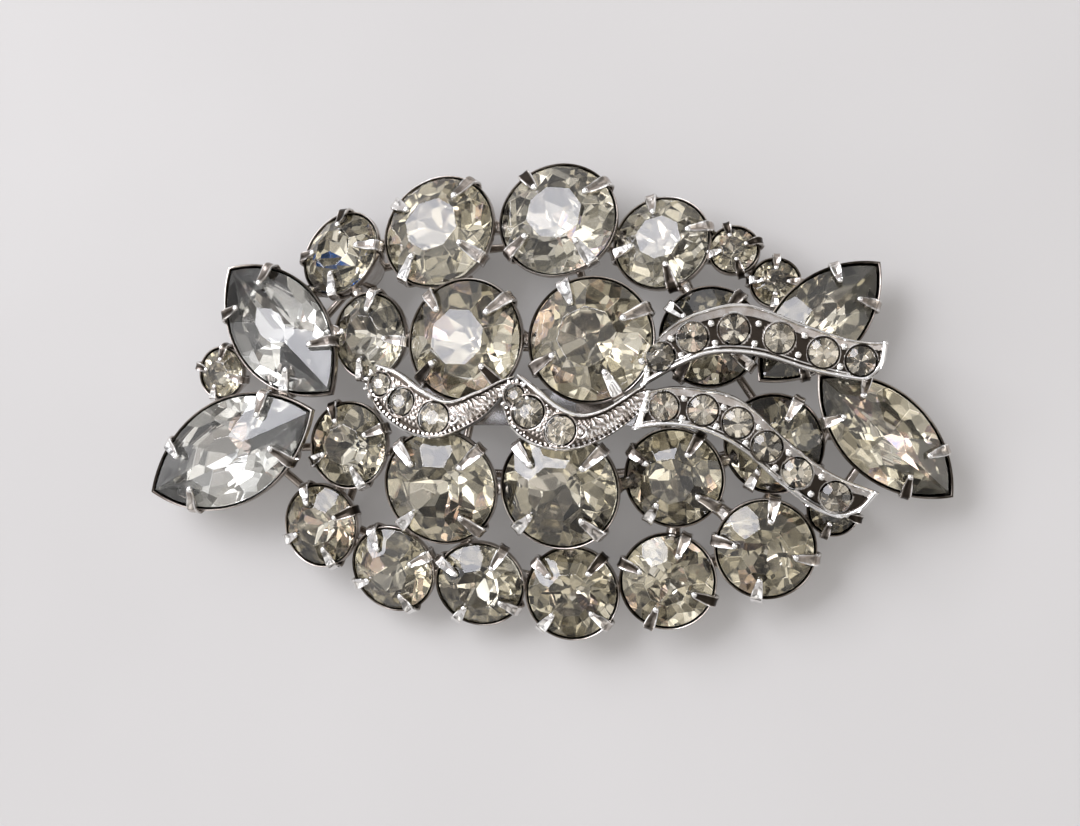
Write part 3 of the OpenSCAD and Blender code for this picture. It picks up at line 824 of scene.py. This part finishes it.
def addCup(shape, gem, dice):
    width = gem["width"]
    rimShading = shadedRim(dice, cup["segments"])
    depth = gem["depth"] + cup["floor"]
    inside, outer, rim, bevel = cup["gap"], cup["gap"] + cup["wall"], cup["rise"], cup["bevel"]
    base = cupRing(gem, grown(cup["base"], width) - width / 2, -depth, cup["navetteBase"])
    band = cupRing(gem, outer, -cup["band"])
    rings = [
        blendRings(base, [Vector((0, 0, -depth))] * len(base), 0.12),
        [p + Vector((0, 0, 0.1)) for p in base],
    ]
    # painted shade: darker at the cup's foot, lighter up the wall, and dark again just under the rim
    grimeAndShadeRows = [0.6, 0.45]
    for t in (0.25, 0.5, 0.75, 0.92):
        wall = blendRings(base, band, t)
        swell = cup["swell"] * math.sin(math.pi * t)
        rings.append([p + Vector((p.x, p.y, 0)).normalized() * swell for p in wall])
        grimeAndShadeRows.append(0.4 - 0.22 * t)
    rings.append(band)
    grimeAndShadeRows.append(0.2)
    # over the rim and down to the bowl; painted shade makes the gap round the stone and the bowl darkest
    for grow, height, grimeAndShade in ((outer, -0.1, 0.6), (outer, rim - bevel, 0.6), (outer - bevel, rim, rimShading),
                                (inside + 0.06, rim - 0.01, rimShading), (inside + 0.02, rim - 0.05, 0.8),
                                (inside, rim - 0.1, 1.0), (inside - 0.02, -0.1 * gem["depth"] - 0.2, 1.0)):
        rings.append(cupRing(gem, grow, height))
        grimeAndShadeRows.append(grimeAndShade)
    for t, share, below in cup["bowl"]:
        level = -share * gem["depth"] - below
        rings.append([Vector((p.x * (1 - t), p.y * (1 - t), level)) for p in cupRing(gem, inside, level)])
        grimeAndShadeRows.append(1.0)
    addRings(shape, rings, grimeAndShadeRows, gem["place"])


def addClaw(shape, place, size, taper, dishShade):
    # place: x runs out of the stone from the girdle's edge, y along the edge, z up
    reach, root, wide = (grown(claw[k], size) for k in ("reach", "root", "width"))
    thick = claw["thick"]
    rise = stoneCut["crown"] / ((1 - stoneCut["table"]) / 2)
    wall = cup["gap"] + cup["wall"]
    # the claw's middle line up the wall and over the girdle: x, z, then its width and thickness as shares
    knots = [
        (wall - taper * (root + 0.35 - cup["band"]) - 0.22, -root - 0.35, 0.6, 0.6),
        (wall - taper * (root - cup["band"]) - 0.04, -root, 0.8, 1.0),
        (wall + 0.02, -0.3, 0.9, 1.0),
        (wall + 0.03, 0.12, 0.92, 1.0),
        (wall - 0.08, 0.36, 0.95, 1.0),
        (-0.1 * reach, 0.38 + 0.02 * size, 0.9, 1.0),
        (-0.55 * reach, 0.55 * reach * rise + 0.16, 0.72, 0.95),
        (-0.92 * reach, 0.92 * reach * rise + 0.08, claw["tipShare"] + 0.06, 0.85),
        (-reach, reach * rise + 0.05, claw["tipShare"], 0.6),
    ]
    path = smoothPath(knots, 3)
    rings, grimeAndShadeRows = [], []
    for i, (x, z, w, t) in enumerate(path):
        ahead = path[min(i + 1, len(path) - 1)] - path[max(i - 1, 0)]
        out = Vector((ahead[1], 0, -ahead[0])).normalized()
        half, deep = w * wide / 2, t * thick
        centre = Vector((x, 0, z))
        # dished face with rounded edges, flatter over the shoulder, then the flat back
        dish = claw["dish"] * (1 if x < 0 else 0.3)
        section = [(-0.85, 1.0), (-0.62, 1 - 0.3 * dish), (0, 1 - dish), (0.62, 1 - 0.3 * dish),
                   (0.85, 1.0), (1.0, 0.8), (1.0, 0.2), (0.8, 0.0), (-0.8, 0.0), (-1.0, 0.2), (-1.0, 0.8)]
        rings.append([centre + out * (deep * h) + Vector((0, s * half, 0)) for s, h in section])
        # painted shade: the claw is darker down the cup's wall, on its back and in its dished face
        low = 0.35 if z < -0.1 else 0.0
        grimeAndShadeRows.append([low + g for g in (0, 0.8 * dishShade, dishShade, 0.8 * dishShade, 0, 0.1, 0.4, 0.6, 0.6, 0.4, 0.1)])
    addRings(shape, rings, grimeAndShadeRows, place)
    ball = Vector((path[-1][0] + 0.03, 0, path[-1][1] + claw["ball"]))
    up = place.to_3x3() @ Vector((0, 0, 1))
    addBall(shape, place @ ball, 0.5 * claw["tipShare"] * wide + 0.02, up, 0.8)


def curveAt(knots, i, t):
    # a smooth curve through the knots, between knot i and the next
    a, b, c, d = (Vector(knots[max(0, min(len(knots) - 1, i + k))]) for k in (-1, 0, 1, 2))
    return 0.5 * (2 * b + (c - a) * t + (2 * a - 5 * b + 4 * c - d) * t * t
                  + (3 * b - a - 3 * c + d) * t ** 3)


def smoothPath(knots, steps):
    path = [curveAt(knots, i, k / steps) for i in range(len(knots) - 1) for k in range(steps)]
    return path + [Vector(knots[-1])]


def clawPlaces(gem):
    # where each claw stands on the girdle's edge, with x out of the stone
    place, width = gem["place"], gem["width"]
    if not gem["isLong"]:
        for i in range(claw["count"]):
            turn = Matrix.Rotation(2 * math.pi * i / claw["count"], 4, "Z")
            yield place @ turn @ Matrix.Translation((width / 2, 0, 0))
        return
    r = arcOf(gem["length"], width)[0]
    swing = math.asin(claw["navettePlace"] * gem["length"] / 2 / r)
    for side in (0, math.pi):
        toArc = Matrix.Rotation(side, 4, "Z") @ Matrix.Translation((0, width / 2 - r, 0))
        for end in (-1, 1):
            turn = Matrix.Rotation(math.pi / 2 + end * swing, 4, "Z")
            yield place @ toArc @ turn @ Matrix.Translation((r, 0, 0))


def makeCup(node):
    gem = gems[node]
    shape = newShape()
    dice = random.Random("rim_" + node)
    addCup(shape, gem, dice)
    width = gem["width"]
    baseHalf = cup["navetteBase"][1] * width / 2 if gem["isLong"] else grown(cup["base"], width)
    rim = width / 2 + cup["gap"] + cup["wall"]
    taper = (rim - baseHalf) / (gem["depth"] + cup["floor"] - cup["band"])
    for place in clawPlaces(gem):
        outward = (place.translation - gem["centre"]).normalized().xy
        # painted shade on each claw's dish, more on the stone's shaded side
        dishShade = dice.choice(claw["dishShade"]) + claw["sideShade"] * outward.dot(claw["shadedSide"])
        addClaw(shape, place, width, taper, max(0.05, dishShade))
    finishShape("cup_" + node, shape)


for node in gems:
    makeCup(node)
print("cups and claws made")


# solder bars between the cups

def rowOf(row, numbers):
    return [f"{row}_stone_{i}" for i in numbers]


def columnOf(*numbers):
    return [f"{row}_stone_{i}" for row, i in zip(("top", "upper", "lower", "bottom"), numbers)]


solderLines = [
    ["side_stone", "left_navette_upper", *rowOf("top", range(1, 7)), "right_navette_upper",
     "right_navette_lower", *rowOf("bottom", range(7, 0, -1)), "left_navette_lower"],
    ["left_navette_upper", *rowOf("upper", range(1, 5))],
    ["left_navette_lower", *rowOf("lower", range(1, 6)), "right_navette_lower"],
    columnOf(2, 2, 2, 2), columnOf(3, 3, 3, 4), columnOf(4, 4, 5, 6), columnOf(1, 1, 1, 1),
]
solder = {"radius": 0.35, "swell": 0.16, "inlet": 0.1, "steps": 8}
pads = {"places": (-7.2, 2.7), "radius": 1.2, "low": 3.3, "height": 0.9}  # the pin's plate is soldered here
web = {
    "longest": 2.3,  # the solder runs between cups no further apart than this, from inlet to inlet
    "drop": 1.0,  # below the cups' rims
    "inlet": 0.6,
    "radii": (0.85, 0.72, 0.62, 0.58, 0.62, 0.72, 0.85),
    "fullSize": 7.5,
}


def barSeat(gem):
    # a little above the cup's base
    below = gem["depth"] + cup["floor"] - solder["radius"] - solder["inlet"]
    return gem["centre"] - gem["up"] * below


def wallTowards(gem, other):
    # where a cup's wall faces another stone, a little below the rim
    local = gem["place"].inverted() @ other["centre"]
    outline = outlineOf(gem, cup["gap"] + cup["wall"] - web["inlet"])
    near = min(outline, key=lambda p: (p - local.xy).length)
    return gem["place"] @ Vector((near.x, near.y, -web["drop"]))


def addWebs(shape):
    names = list(gems)
    for i, first in enumerate(names):
        for second in names[i + 1:]:
            a, b = gems[first], gems[second]
            start, end = wallTowards(a, b), wallTowards(b, a)
            if (end - start).length > web["longest"]:
                continue
            size = min(1.0, min(a["width"], b["width"]) / web["fullSize"])
            last = len(web["radii"]) - 1
            path = [start.lerp(end, k / last) for k in range(last + 1)]
            addTube(shape, path, [r * size for r in web["radii"]], 14, 0.3)


def makeSolder():
    shape = newShape()
    addWebs(shape)
    for line in solderLines:
        for a, b in zip(line, line[1:]):
            start, end = barSeat(gems[a]), barSeat(gems[b])
            shares = [k / solder["steps"] for k in range(solder["steps"] + 1)]
            radii = [solder["radius"] + solder["swell"] * abs(2 * t - 1) ** 3 for t in shares]
            addTube(shape, [start.lerp(end, t) for t in shares], radii, 12, 0.5)
    for x in pads["places"]:
        foot = Vector((x, 0, pads["low"])) - middle
        path = [foot + Vector((0, 0, pads["height"] * k / 3)) for k in range(4)]
        addTube(shape, path, [pads["radius"] * k for k in (0.94, 1, 1, 0.9)], 24, 0.5)
    finishShape("solder_frame", shape)


makeSolder()
print("solder bars made")


# ribbons and scroll: upper edge x, y, z and lower edge x, y, z at each station

strips = {
    "upper_ribbon": [
        (8.8, 3.7, 9.1, 8.3, 1, 9.1), (10.3, 5.6, 9.1, 11.2, 2.6, 9), (12.8, 7, 8.9, 14, 3.6, 8.7),
        (16.3, 7.6, 8.4, 17.5, 3.4, 8.2), (20.6, 6.1, 7.8, 21.4, 2.3, 7.6),
        (24.4, 4.9, 7.2, 24.6, 1.7, 7.1), (27.1, 4.7, 6.8, 26.7, 1.65, 6.8)],
    "lower_ribbon": [
        (8.6, 0.6, 9, 7.6, -2.4, 9), (10.5, 1.1, 9, 10.5, -2, 8.8), (12.9, 1, 8.8, 13.6, -2.5, 8.4),
        (16, 0.2, 8.4, 16.2, -3.9, 7.9), (19.8, -3, 7.5, 18.8, -6.1, 7), (22.9, -5.3, 6.7, 21.6, -8.2, 6.3),
        (26.4, -6.75, 6, 24.45, -9.1, 5.8)],
    "scroll_left": [
        (-13.4, 2.9, 9, -14.2, 0.6, 8.9), (-11.4, 2.2, 9.3, -12.8, -1.4, 9.2),
        (-9.4, 0.8, 9.6, -10.3, -2.9, 9.6), (-7.2, -0.1, 9.7, -7.9, -3.1, 9.7),
        (-5, 0.6, 9.8, -5.4, -2.1, 9.8), (-3.4, 1.4, 9.7, -3.8, -0.8, 9.7), (-2, 2, 9.6, -3, 0.4, 9.6)],
    "scroll_right": [
        (-1.4, 2, 9.7, -2.8, -0.4, 9.7), (0.1, 0.9, 9.8, -1.9, -2.5, 9.8),
        (1.9, -0.5, 9.8, -0.2, -3.7, 9.9), (3.5, -1.2, 9.7, 2.2, -4.2, 10), (5, -0.9, 9.6, 4.4, -3.6, 9.7),
        (6.6, 0, 9.4, 6.2, -2.6, 9.4), (8.6, 1.4, 9.2, 8.3, -0.9, 9.1)],
}
posts = [
    # x, y, foot, top
    (8.95, 3, 7.9, 9.4), (17.1, 6.9, 5.2, 8.6), (22.1, 2.5, 5, 8), (9.6, -1.7, 6.2, 9.1),
    (14.5, -1, 4.8, 8.6), (22.3, -6, 2.8, 6.8), (-13.5, 2.2, 6.2, 9.2), (-7.3, -2.25, 8.2, 9.9),
    (1.5, -2.1, 8.2, 9.9),
]
postRadii = (0.48, 0.4, 0.38, 0.4, 0.46)
strip = {
    "bed": 0.8,  # how thick a strip is without its relief
    "stations": 200,
    "marks": 300,  # stations that grains and ribs are placed by
    "measured": 400,
    # stations close to each end, where the rims are
    "endStations": [0, 0.03, 0.08, 0.15, 0.22, 0.27, 0.3, 0.34, 0.4, 0.48, 0.56],
    "seatGap": 0.17,
    "bezel": (0.24, 0.06),  # how far outside the stone, and how thick
    "beadAside": 0.17,  # of the widths of the two stones beside a pair of beads
    "startAside": 0.55,  # the pair before the first stone is this much closer
    "startBefore": 0.32,
    "beadHeight": 0.1,
    "beadFlat": 0.95,
}


def edgesAt(rows, u):
    # upper and lower edge of a strip, u rows from its start
    i = min(int(u), len(rows) - 2)
    row = curveAt(rows, i, u - i)
    return Vector(row[:3]) - middle, Vector(row[3:]) - middle


def sectionAt(rows, u):
    # upper edge, way across, way up and width of a strip
    upper, lower = edgesAt(rows, u)
    ahead = sum(edgesAt(rows, u + 0.1), Vector()) - sum(edgesAt(rows, u - 0.1), Vector())
    across = (lower - upper).normalized()
    return upper, across, across.cross(ahead).normalized(), (lower - upper).length


def stationTable(rows, count, beyond=0.0):
    # evenly spaced stations along a strip, closer at both ends: (u, distance from the start)
    last = strip["measured"]
    fine = [(len(rows) - 1 + beyond) * k / last for k in range(last + 1)]
    lengths = [0.0]
    mids = [sum(edgesAt(rows, u), Vector()) / 2 for u in fine]
    for a, b in zip(mids, mids[1:]):
        lengths.append(lengths[-1] + (b - a).length)
    total = lengths[-1]
    close = strip["endStations"]
    wanted = close + [close[-1] + (total - 2 * close[-1]) * k / count for k in range(1, count)]
    wanted += [total - c for c in reversed(close)]
    table, k = [], 0
    for want in wanted:
        while k < last - 1 and lengths[k + 1] < want:
            k += 1
        t = (want - lengths[k]) / (lengths[k + 1] - lengths[k])
        table.append((fine[k] + (fine[k + 1] - fine[k]) * min(max(t, 0), 1), want))
    return table, total


def bump(d, centre, half, rise):
    # height of a round bead's section
    x = (d - centre) / half
    return rise * math.sqrt(1 - x * x) if abs(x) < 1 else 0.0


def addStrip(shape, rows, steps, reliefAt, corner=0.0, beyond=0.0):
    # closed strip: its top follows reliefAt(along, across, total, width) and its underside is flat;
    # steps run from 0 at the upper edge to 1 at the lower one, whose far corner may be rounded
    table, total = stationTable(rows, strip["stations"], beyond)
    rings, grimeAndShadeRows = [], []
    for u, along in table:
        upper, across, up, whole = sectionAt(rows, u)
        width = whole - corner + math.sqrt(corner ** 2 - max(0, corner - (total - along)) ** 2)
        relief = [reliefAt(along, s * width / whole, total, whole) for s in steps]
        top = [upper + across * s * width + up * high for s, (high, dirtAndShade) in zip(steps, relief)]
        low = [upper + across * s * width for s in (0.97, 0.5, 0.03)]
        rings.append(top + low)
        # the flat underside is dark with painted shade
        grimeAndShadeRows.append([dirtAndShade for high, dirtAndShade in relief] + [0.8] * 3)
    addRings(shape, rings, grimeAndShadeRows)


ribbon = {
    "width": 3.6,  # the places below are for a ribbon this wide
    "shelf": 0.16,  # height of the shelf over the bed
    "upperRim": (0.15, 0.15, 0.42),  # place of its middle, half width and rise
    "lowerRim": (0.21, 0.21, 0.46),
    "lip": (0.56, 0.11, 0.3),
    "startRim": (0.36, 0.36, 0.44),
    "endRim": (0.22, 0.22, 0.42),
    "channel": (0.85, 2.9),
    "channelHeight": -0.12,
    "gapHeight": 0.02,  # between the channel and the lower rim's lip
    "reliefFrom": 0.02,  # a rim or a lip counts where it is higher than this
    "cleanFrom": 0.2,
    # grime and painted shade: darkest in the channel round the stones and the gap by the lip, dark at each
    # rim's foot, lighter on the shelf
    "grimeAndShade": {"besideRim": 0.8, "shelf": 0.38, "channel": 1.15, "gap": 1.0},
    "bead": 0.3,
    "corner": 2.0,  # the tip's rounded corner
    "beyond": 0.15,  # how far the tip runs on, as a share of the last stretch
    "steps": [0, 0.03, 0.08, 0.14, 0.22, 0.27, 0.3, 0.33, 0.4, 0.5, 0.65, 0.78, 0.84, 0.87, 1.0, 1.2, 1.5,
              1.8, 2.1, 2.4, 2.65, 2.82, 2.89, 2.93, 2.98, 3.05, 3.11, 3.15, 3.18, 3.2, 3.25, 3.33, 3.4,
              3.48, 3.55, 3.6],
}


def ribbonRelief(along, share, total, whole):
    d = share * ribbon["width"]
    low, far = ribbon["width"] - d, total - along
    corner = ribbon["corner"]
    rounded = corner - math.hypot(max(0, corner - far), max(0, corner - whole * (1 - share)))
    rims = [bump(d, *ribbon["upperRim"]), bump(low, *ribbon["lowerRim"]), bump(along, *ribbon["startRim"]),
            bump(far, *ribbon["endRim"]), bump(rounded, *ribbon["endRim"])]
    high, dirtAndShade, bed = max(rims), ribbon["grimeAndShade"], strip["bed"]
    if high > ribbon["reliefFrom"]:
        return bed + high, 0.0 if high > ribbon["cleanFrom"] else dirtAndShade["besideRim"]
    lip = bump(low, *ribbon["lip"])
    if lip > ribbon["reliefFrom"]:
        return bed + lip, 0.0
    near, edge = ribbon["channel"]
    if d < near:
        return bed + ribbon["shelf"], dirtAndShade["shelf"]
    if d < edge:
        return bed + ribbon["channelHeight"], dirtAndShade["channel"]
    return bed + ribbon["gapHeight"], dirtAndShade["gap"]


def alongOf(rows, spot):
    # how far along a strip a spot lies
    table = stationTable(rows, strip["stations"])[0]
    return min(table, key=lambda row: (sum(edgesAt(rows, row[0]), Vector()) / 2 - spot).length)[1]


def seatDrill(gem):
    # hole for a small stone: a cone under its back, and a straight wall round it; its points are dark with
    # grime and painted shade
    shape = newShape()
    r = gem["width"] / 2
    wall = r + strip["seatGap"]
    profile = [(0.2, -gem["depth"] - 0.25), (r + 0.02, -0.34), (wall, -0.3), (wall, 1.2)]
    rings = [circlePoints(radius, 40, height) for radius, height in profile]
    addRings(shape, rings, [1.0, 1.0, 0.9, 0.9], gem["place"])
    return shape


def addHoop(shape, gem, out, thick, grimeAndShade):
    # a fine round ring about a small stone, darker on its underside with painted shade
    count, sides = 36, 8
    radius = gem["width"] / 2 + out
    start = len(shape["points"])
    for i in range(count):
        a = 2 * math.pi * i / count
        for k in range(sides):
            b = 2 * math.pi * k / sides
            r = radius + thick * math.cos(b)
            spot = Vector((r * math.cos(a), r * math.sin(a), thick * math.sin(b)))
            shape["points"].append(gem["place"] @ spot)
            shape["grimeAndShade"].append(grimeAndShade + 0.3 * max(0, -math.sin(b)))
            n, m = (i + 1) % count, (k + 1) % sides
            shape["faces"].append((start + i * sides + k, start + n * sides + k, start + n * sides + m,
                                   start + i * sides + m))


def addBeadPairs(shape, stones, radius):
    # two beads between neighbouring stones, and a closer pair before the first
    first, second = stones[0], stones[1]
    along = (second["centre"] - first["centre"]).normalized()
    before = first["centre"] - along * (first["width"] / 2 + strip["startBefore"])
    pairs = [(before, along, first, first, strip["startAside"])]
    for a, b in zip(stones, stones[1:]):
        pairs.append(((a["centre"] + b["centre"]) / 2, (b["centre"] - a["centre"]).normalized(), a, b, 1))
    for spot, along, a, b, share in pairs:
        up = (a["up"] + b["up"]).normalized()
        side = up.cross(along).normalized()
        aside = strip["beadAside"] * (a["width"] + b["width"]) * share
        for way in (-1, 1):
            centre = spot + side * way * aside + up * strip["beadHeight"]
            addBall(shape, centre, radius, up, strip["beadFlat"])


def makeRibbon(name, node):
    rows, stones = strips[name], smallGems[node]
    shape, trim = newShape(), newShape()
    addBeadPairs(trim, stones, ribbon["bead"])
    steps = [s / ribbon["width"] for s in ribbon["steps"]]
    addStrip(shape, rows, steps, ribbonRelief, ribbon["corner"], ribbon["beyond"])
    finishShape(name, shape, [seatDrill(gem) for gem in stones])
    finishShape(name + "_beads", trim)


makeRibbon("upper_ribbon", "upper_ribbon_stones")
makeRibbon("lower_ribbon", "lower_ribbon_stones")
print("ribbons made")


scroll = {
    "width": 2.8,  # the places below are for a scroll this wide
    "rim": (0.17, 0.17, 0.46),  # place of its middle, half width and rise
    "lowRim": (0.1, 0.1, 0.34),
    "upperGroove": 0.46,  # how far the grooves beside the leaf reach in from each edge
    "grainGroove": 0.54,
    "grooveHeight": -0.03,
    "reliefFrom": 0.03,
    "cleanFrom": 0.15,
    "leafBlend": (0.5, 0.3),  # how far after its start the leaf takes over from the ground, and over how far
    # grime and painted shade: darkest in the grooves, dark at each rim's foot
    "grimeAndShade": {"besideRim": 0.5, "groove": 1.15, "ground": 0.8},
    "lessGrimeAndShade": {"leaf": 0.28, "lumps": 0.45, "veins": 0.3},  # than the ground, so the hollows between lumps and veins keep more painted shade
    "crown": 0.16,  # how much the leaf is domed across
    "stipple": (0.38, 0.05),  # spacing and height of the ground's fine lumps
    "vein": (0.5, 0.06),  # spacing and height of the leaf's veins
    "veinSlant": 1.0,
    "veinBend": (1.6, 1.9, 1.2, 1.1),  # how much and how often a vein bends, along the leaf and across it
    "leafAfter": 0.5,  # how far after the last stone the leaf starts
    "ribs": (0.7, 0.35),  # how far after the leaf's start they begin, and before the end they stop
    "grains": (0.2, 0.25),  # how far from the strip's start and its end
    "grain": (0.15, 0.37, 0.36),  # radius, spacing and how far in from the edge
    "gadroon": (0.34, 0.24, 0.13),  # spacing, half length and radius
    "bead": 0.2,
    "granules": (9, 0.42, 0.13),  # round a stone: how many, how far outside it, and radius
    "curl": (0.24, 0.5, 0.1),  # radii of the bead, of the curl round it and of its wire
    "shell": (6, 1.5, 0.16),  # ribs round the first stone, how far round, and their radius
    "steps": [0, 0.02, 0.06, 0.12, 0.17, 0.23, 0.29, 0.34, 0.38, 0.45, 0.5, 0.6, 0.7, 0.8, 0.9, 1.0, 1.1,
              1.2, 1.3, 1.4, 1.5, 1.6, 1.7, 1.8, 1.9, 2.0, 2.1, 2.2, 2.26, 2.32, 2.44, 2.56, 2.6, 2.64,
              2.7, 2.76, 2.8],
}


def leafRelief(leafStart):
    # relief of the scroll: stippled ground round its stones, then a veined leaf
    width = scroll["width"]
    much, often, muchAcross, oftenAcross = scroll["veinBend"]
    dirtAndShade, lessGrimeAndShade = scroll["grimeAndShade"], scroll["lessGrimeAndShade"]
    blendFrom, blendOver = scroll["leafBlend"]

    def relief(along, share, total, whole):
        d = share * width
        low = width - d
        rim = max(bump(d, *scroll["rim"]), bump(low, *scroll["lowRim"]))
        if rim > scroll["reliefFrom"]:
            return strip["bed"] + rim, 0.0 if rim > scroll["cleanFrom"] else dirtAndShade["besideRim"]
        if d < scroll["upperGroove"] or low < scroll["grainGroove"]:
            return strip["bed"] + scroll["grooveHeight"], dirtAndShade["groove"]
        inner = (d - scroll["upperGroove"]) / (width - scroll["upperGroove"] - scroll["grainGroove"])
        leaf = min(1, max(0, (along - leafStart - blendFrom) / blendOver))
        pitch, rise = scroll["stipple"]
        lumps = math.sin(2 * math.pi * along / pitch) * math.sin(2 * math.pi * d / pitch)
        veinPitch, veinRise = scroll["vein"]
        bend = much * math.sin(2 * math.pi * along / often)
        bend += muchAcross * math.sin(2 * math.pi * d / oftenAcross)
        veins = math.sin(2 * math.pi * (along - scroll["veinSlant"] * d) / veinPitch + bend)
        high = strip["bed"] + scroll["crown"] * math.sin(math.pi * inner)
        high += (1 - leaf) * rise * lumps + leaf * veinRise * veins
        # raised lumps and vein crests are lighter, their hollows darker with painted shade
        clean = lessGrimeAndShade["leaf"] * leaf + lessGrimeAndShade["lumps"] * (1 - leaf) * lumps
        return high, dirtAndShade["ground"] - clean - lessGrimeAndShade["veins"] * leaf * veins
    return relief


def stripSpot(rows, along, share, table):
    # a place on a strip's top: how far along, and where between the upper and lower edges
    u = min(table, key=lambda row: abs(row[1] - along))[0]
    upper, across, up, width = sectionAt(rows, u)
    return upper + across * width * share + up * strip["bed"], across, up, width


def addGrains(shape, rows, first, last, dice):
    # a row of small grains along the lower edge, each a little cleaner or darker
    table = stationTable(rows, strip["marks"])[0]
    radius, pitch, inset = scroll["grain"]
    count = max(1, round((last - first) / pitch))
    for k in range(count + 1):
        spot, across, up, width = stripSpot(rows, first + (last - first) * k / count, 1.0, table)
        addBall(shape, spot - across * inset + up * 0.05, radius * dice.uniform(0.85, 1.1), up, 0.9,
                dice.uniform(0.0, 0.55), 10)


def addGadroons(shape, rows, first, last, dice):
    # slanted round ribs below the leaf
    table = stationTable(rows, strip["marks"])[0]
    pitch, half, radius = scroll["gadroon"]
    count = max(1, round((last - first) / pitch))
    for k in range(count + 1):
        spot, across, up, width = stripSpot(rows, first + (last - first) * k / count, 0.66, table)
        lean = (across + up.cross(across) * 0.5).normalized() * half * width / scroll["width"]
        path = [spot + lean * t + up * (0.16 - 0.1 * t * t) for t in (-1, -0.6, 0, 0.6, 1)]
        size = radius * dice.uniform(0.75, 1.1)
        addTube(shape, path, [size * k for k in (0.4, 0.85, 1, 0.85, 0.4)], 8, dice.uniform(0.0, 0.4))


def addCurl(shape, rows, along):
    # a bead after the last stone, with a wire curled round it
    spot, across, up, width = stripSpot(rows, along, 0.52, stationTable(rows, strip["marks"])[0])
    bead, radius, wire = scroll["curl"]
    ahead = up.cross(across)
    addBall(shape, spot + up * 0.12, bead, up, 0.9)
    turns = [math.radians(-125 + 25 * k) for k in range(11)]
    path = [spot + (ahead * math.cos(a) + across * math.sin(a)) * radius + up * 0.16 for a in turns]
    addTube(shape, path, [wire * (1 - 0.6 * abs(k / 5 - 1) ** 3) for k in range(11)], 8, 0.1)


def addShell(shape, gem, following):
    # short ribs that fan out round the strip's first stone
    count, swing, radius = scroll["shell"]
    up = gem["up"]
    back = (gem["centre"] - following["centre"]).normalized()
    side = up.cross(back).normalized()
    for k in range(count):
        a = swing * (2 * k / (count - 1) - 1)
        way = back * math.cos(a) + side * math.sin(a)
        path = [gem["centre"] + way * (gem["width"] / 2 + out) + up * high
                for out, high in ((0.2, 0.12), (0.32, 0.16), (0.5, 0.12), (0.64, 0.0))]
        addTube(shape, path, [radius * t for t in (0.5, 0.9, 1, 0.6)], 10, 0.1)


def addGranules(shape, gem, dice):
    # uneven granules round a small stone
    count, out, radius = scroll["granules"]
    for k in range(count):
        a = 2 * math.pi * (k + 0.5) / count
        r = gem["width"] / 2 + out
        spot = gem["place"] @ Vector((r * math.cos(a), r * math.sin(a), 0.0))
        addBall(shape, spot, radius * dice.uniform(0.7, 1.3), gem["up"], 0.9, dice.uniform(0, 0.5), 10)


def makeScroll(name, stones):
    rows = strips[name]
    dice = random.Random(name)
    shape, trim = newShape(), newShape()
    total = stationTable(rows, strip["marks"])[1]
    last = stones[-1]
    leafStart = alongOf(rows, last["centre"]) + last["width"] / 2 + scroll["leafAfter"]
    steps = [s / scroll["width"] for s in scroll["steps"]]
    addStrip(shape, rows, steps, leafRelief(leafStart))
    for gem in stones:
        addHoop(trim, gem, *strip["bezel"], 0.45)
        addGranules(trim, gem, dice)
    addBeadPairs(trim, stones, scroll["bead"])
    addShell(trim, stones[0], stones[1])
    addCurl(trim, rows, leafStart)
    addGadroons(trim, rows, leafStart + scroll["ribs"][0], total - scroll["ribs"][1], dice)
    addGrains(trim, rows, scroll["grains"][0], total - scroll["grains"][1], dice)
    finishShape(name, shape, [seatDrill(gem) for gem in stones])
    finishShape(name + "_beads", trim)


def makePosts():
    shape = newShape()
    last = len(postRadii) - 1
    for x, y, foot, top in posts:
        path = [Vector((x, y, foot + (top - foot) * k / last)) - middle for k in range(last + 1)]
        addTube(shape, path, postRadii, 12, 0.6)
    finishShape("strip_posts", shape)


makeScroll("scroll_left", smallGems["scroll_stones"][:3])
makeScroll("scroll_right", smallGems["scroll_stones"][3:])
makePosts()
print("scroll made")


# pin on the back keeps its packed form

pinLook = dict(plating, clean=(0.68, 0.67, 0.66), roughness=(0.18, 0.4))
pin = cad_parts["pin_back"]
pin.data.materials.clear()
pin.data.materials.append(makePlating("pin_plating", pinLook))
print("pin plated")

bpy.context.scene.view_settings.view_transform = "Standard"
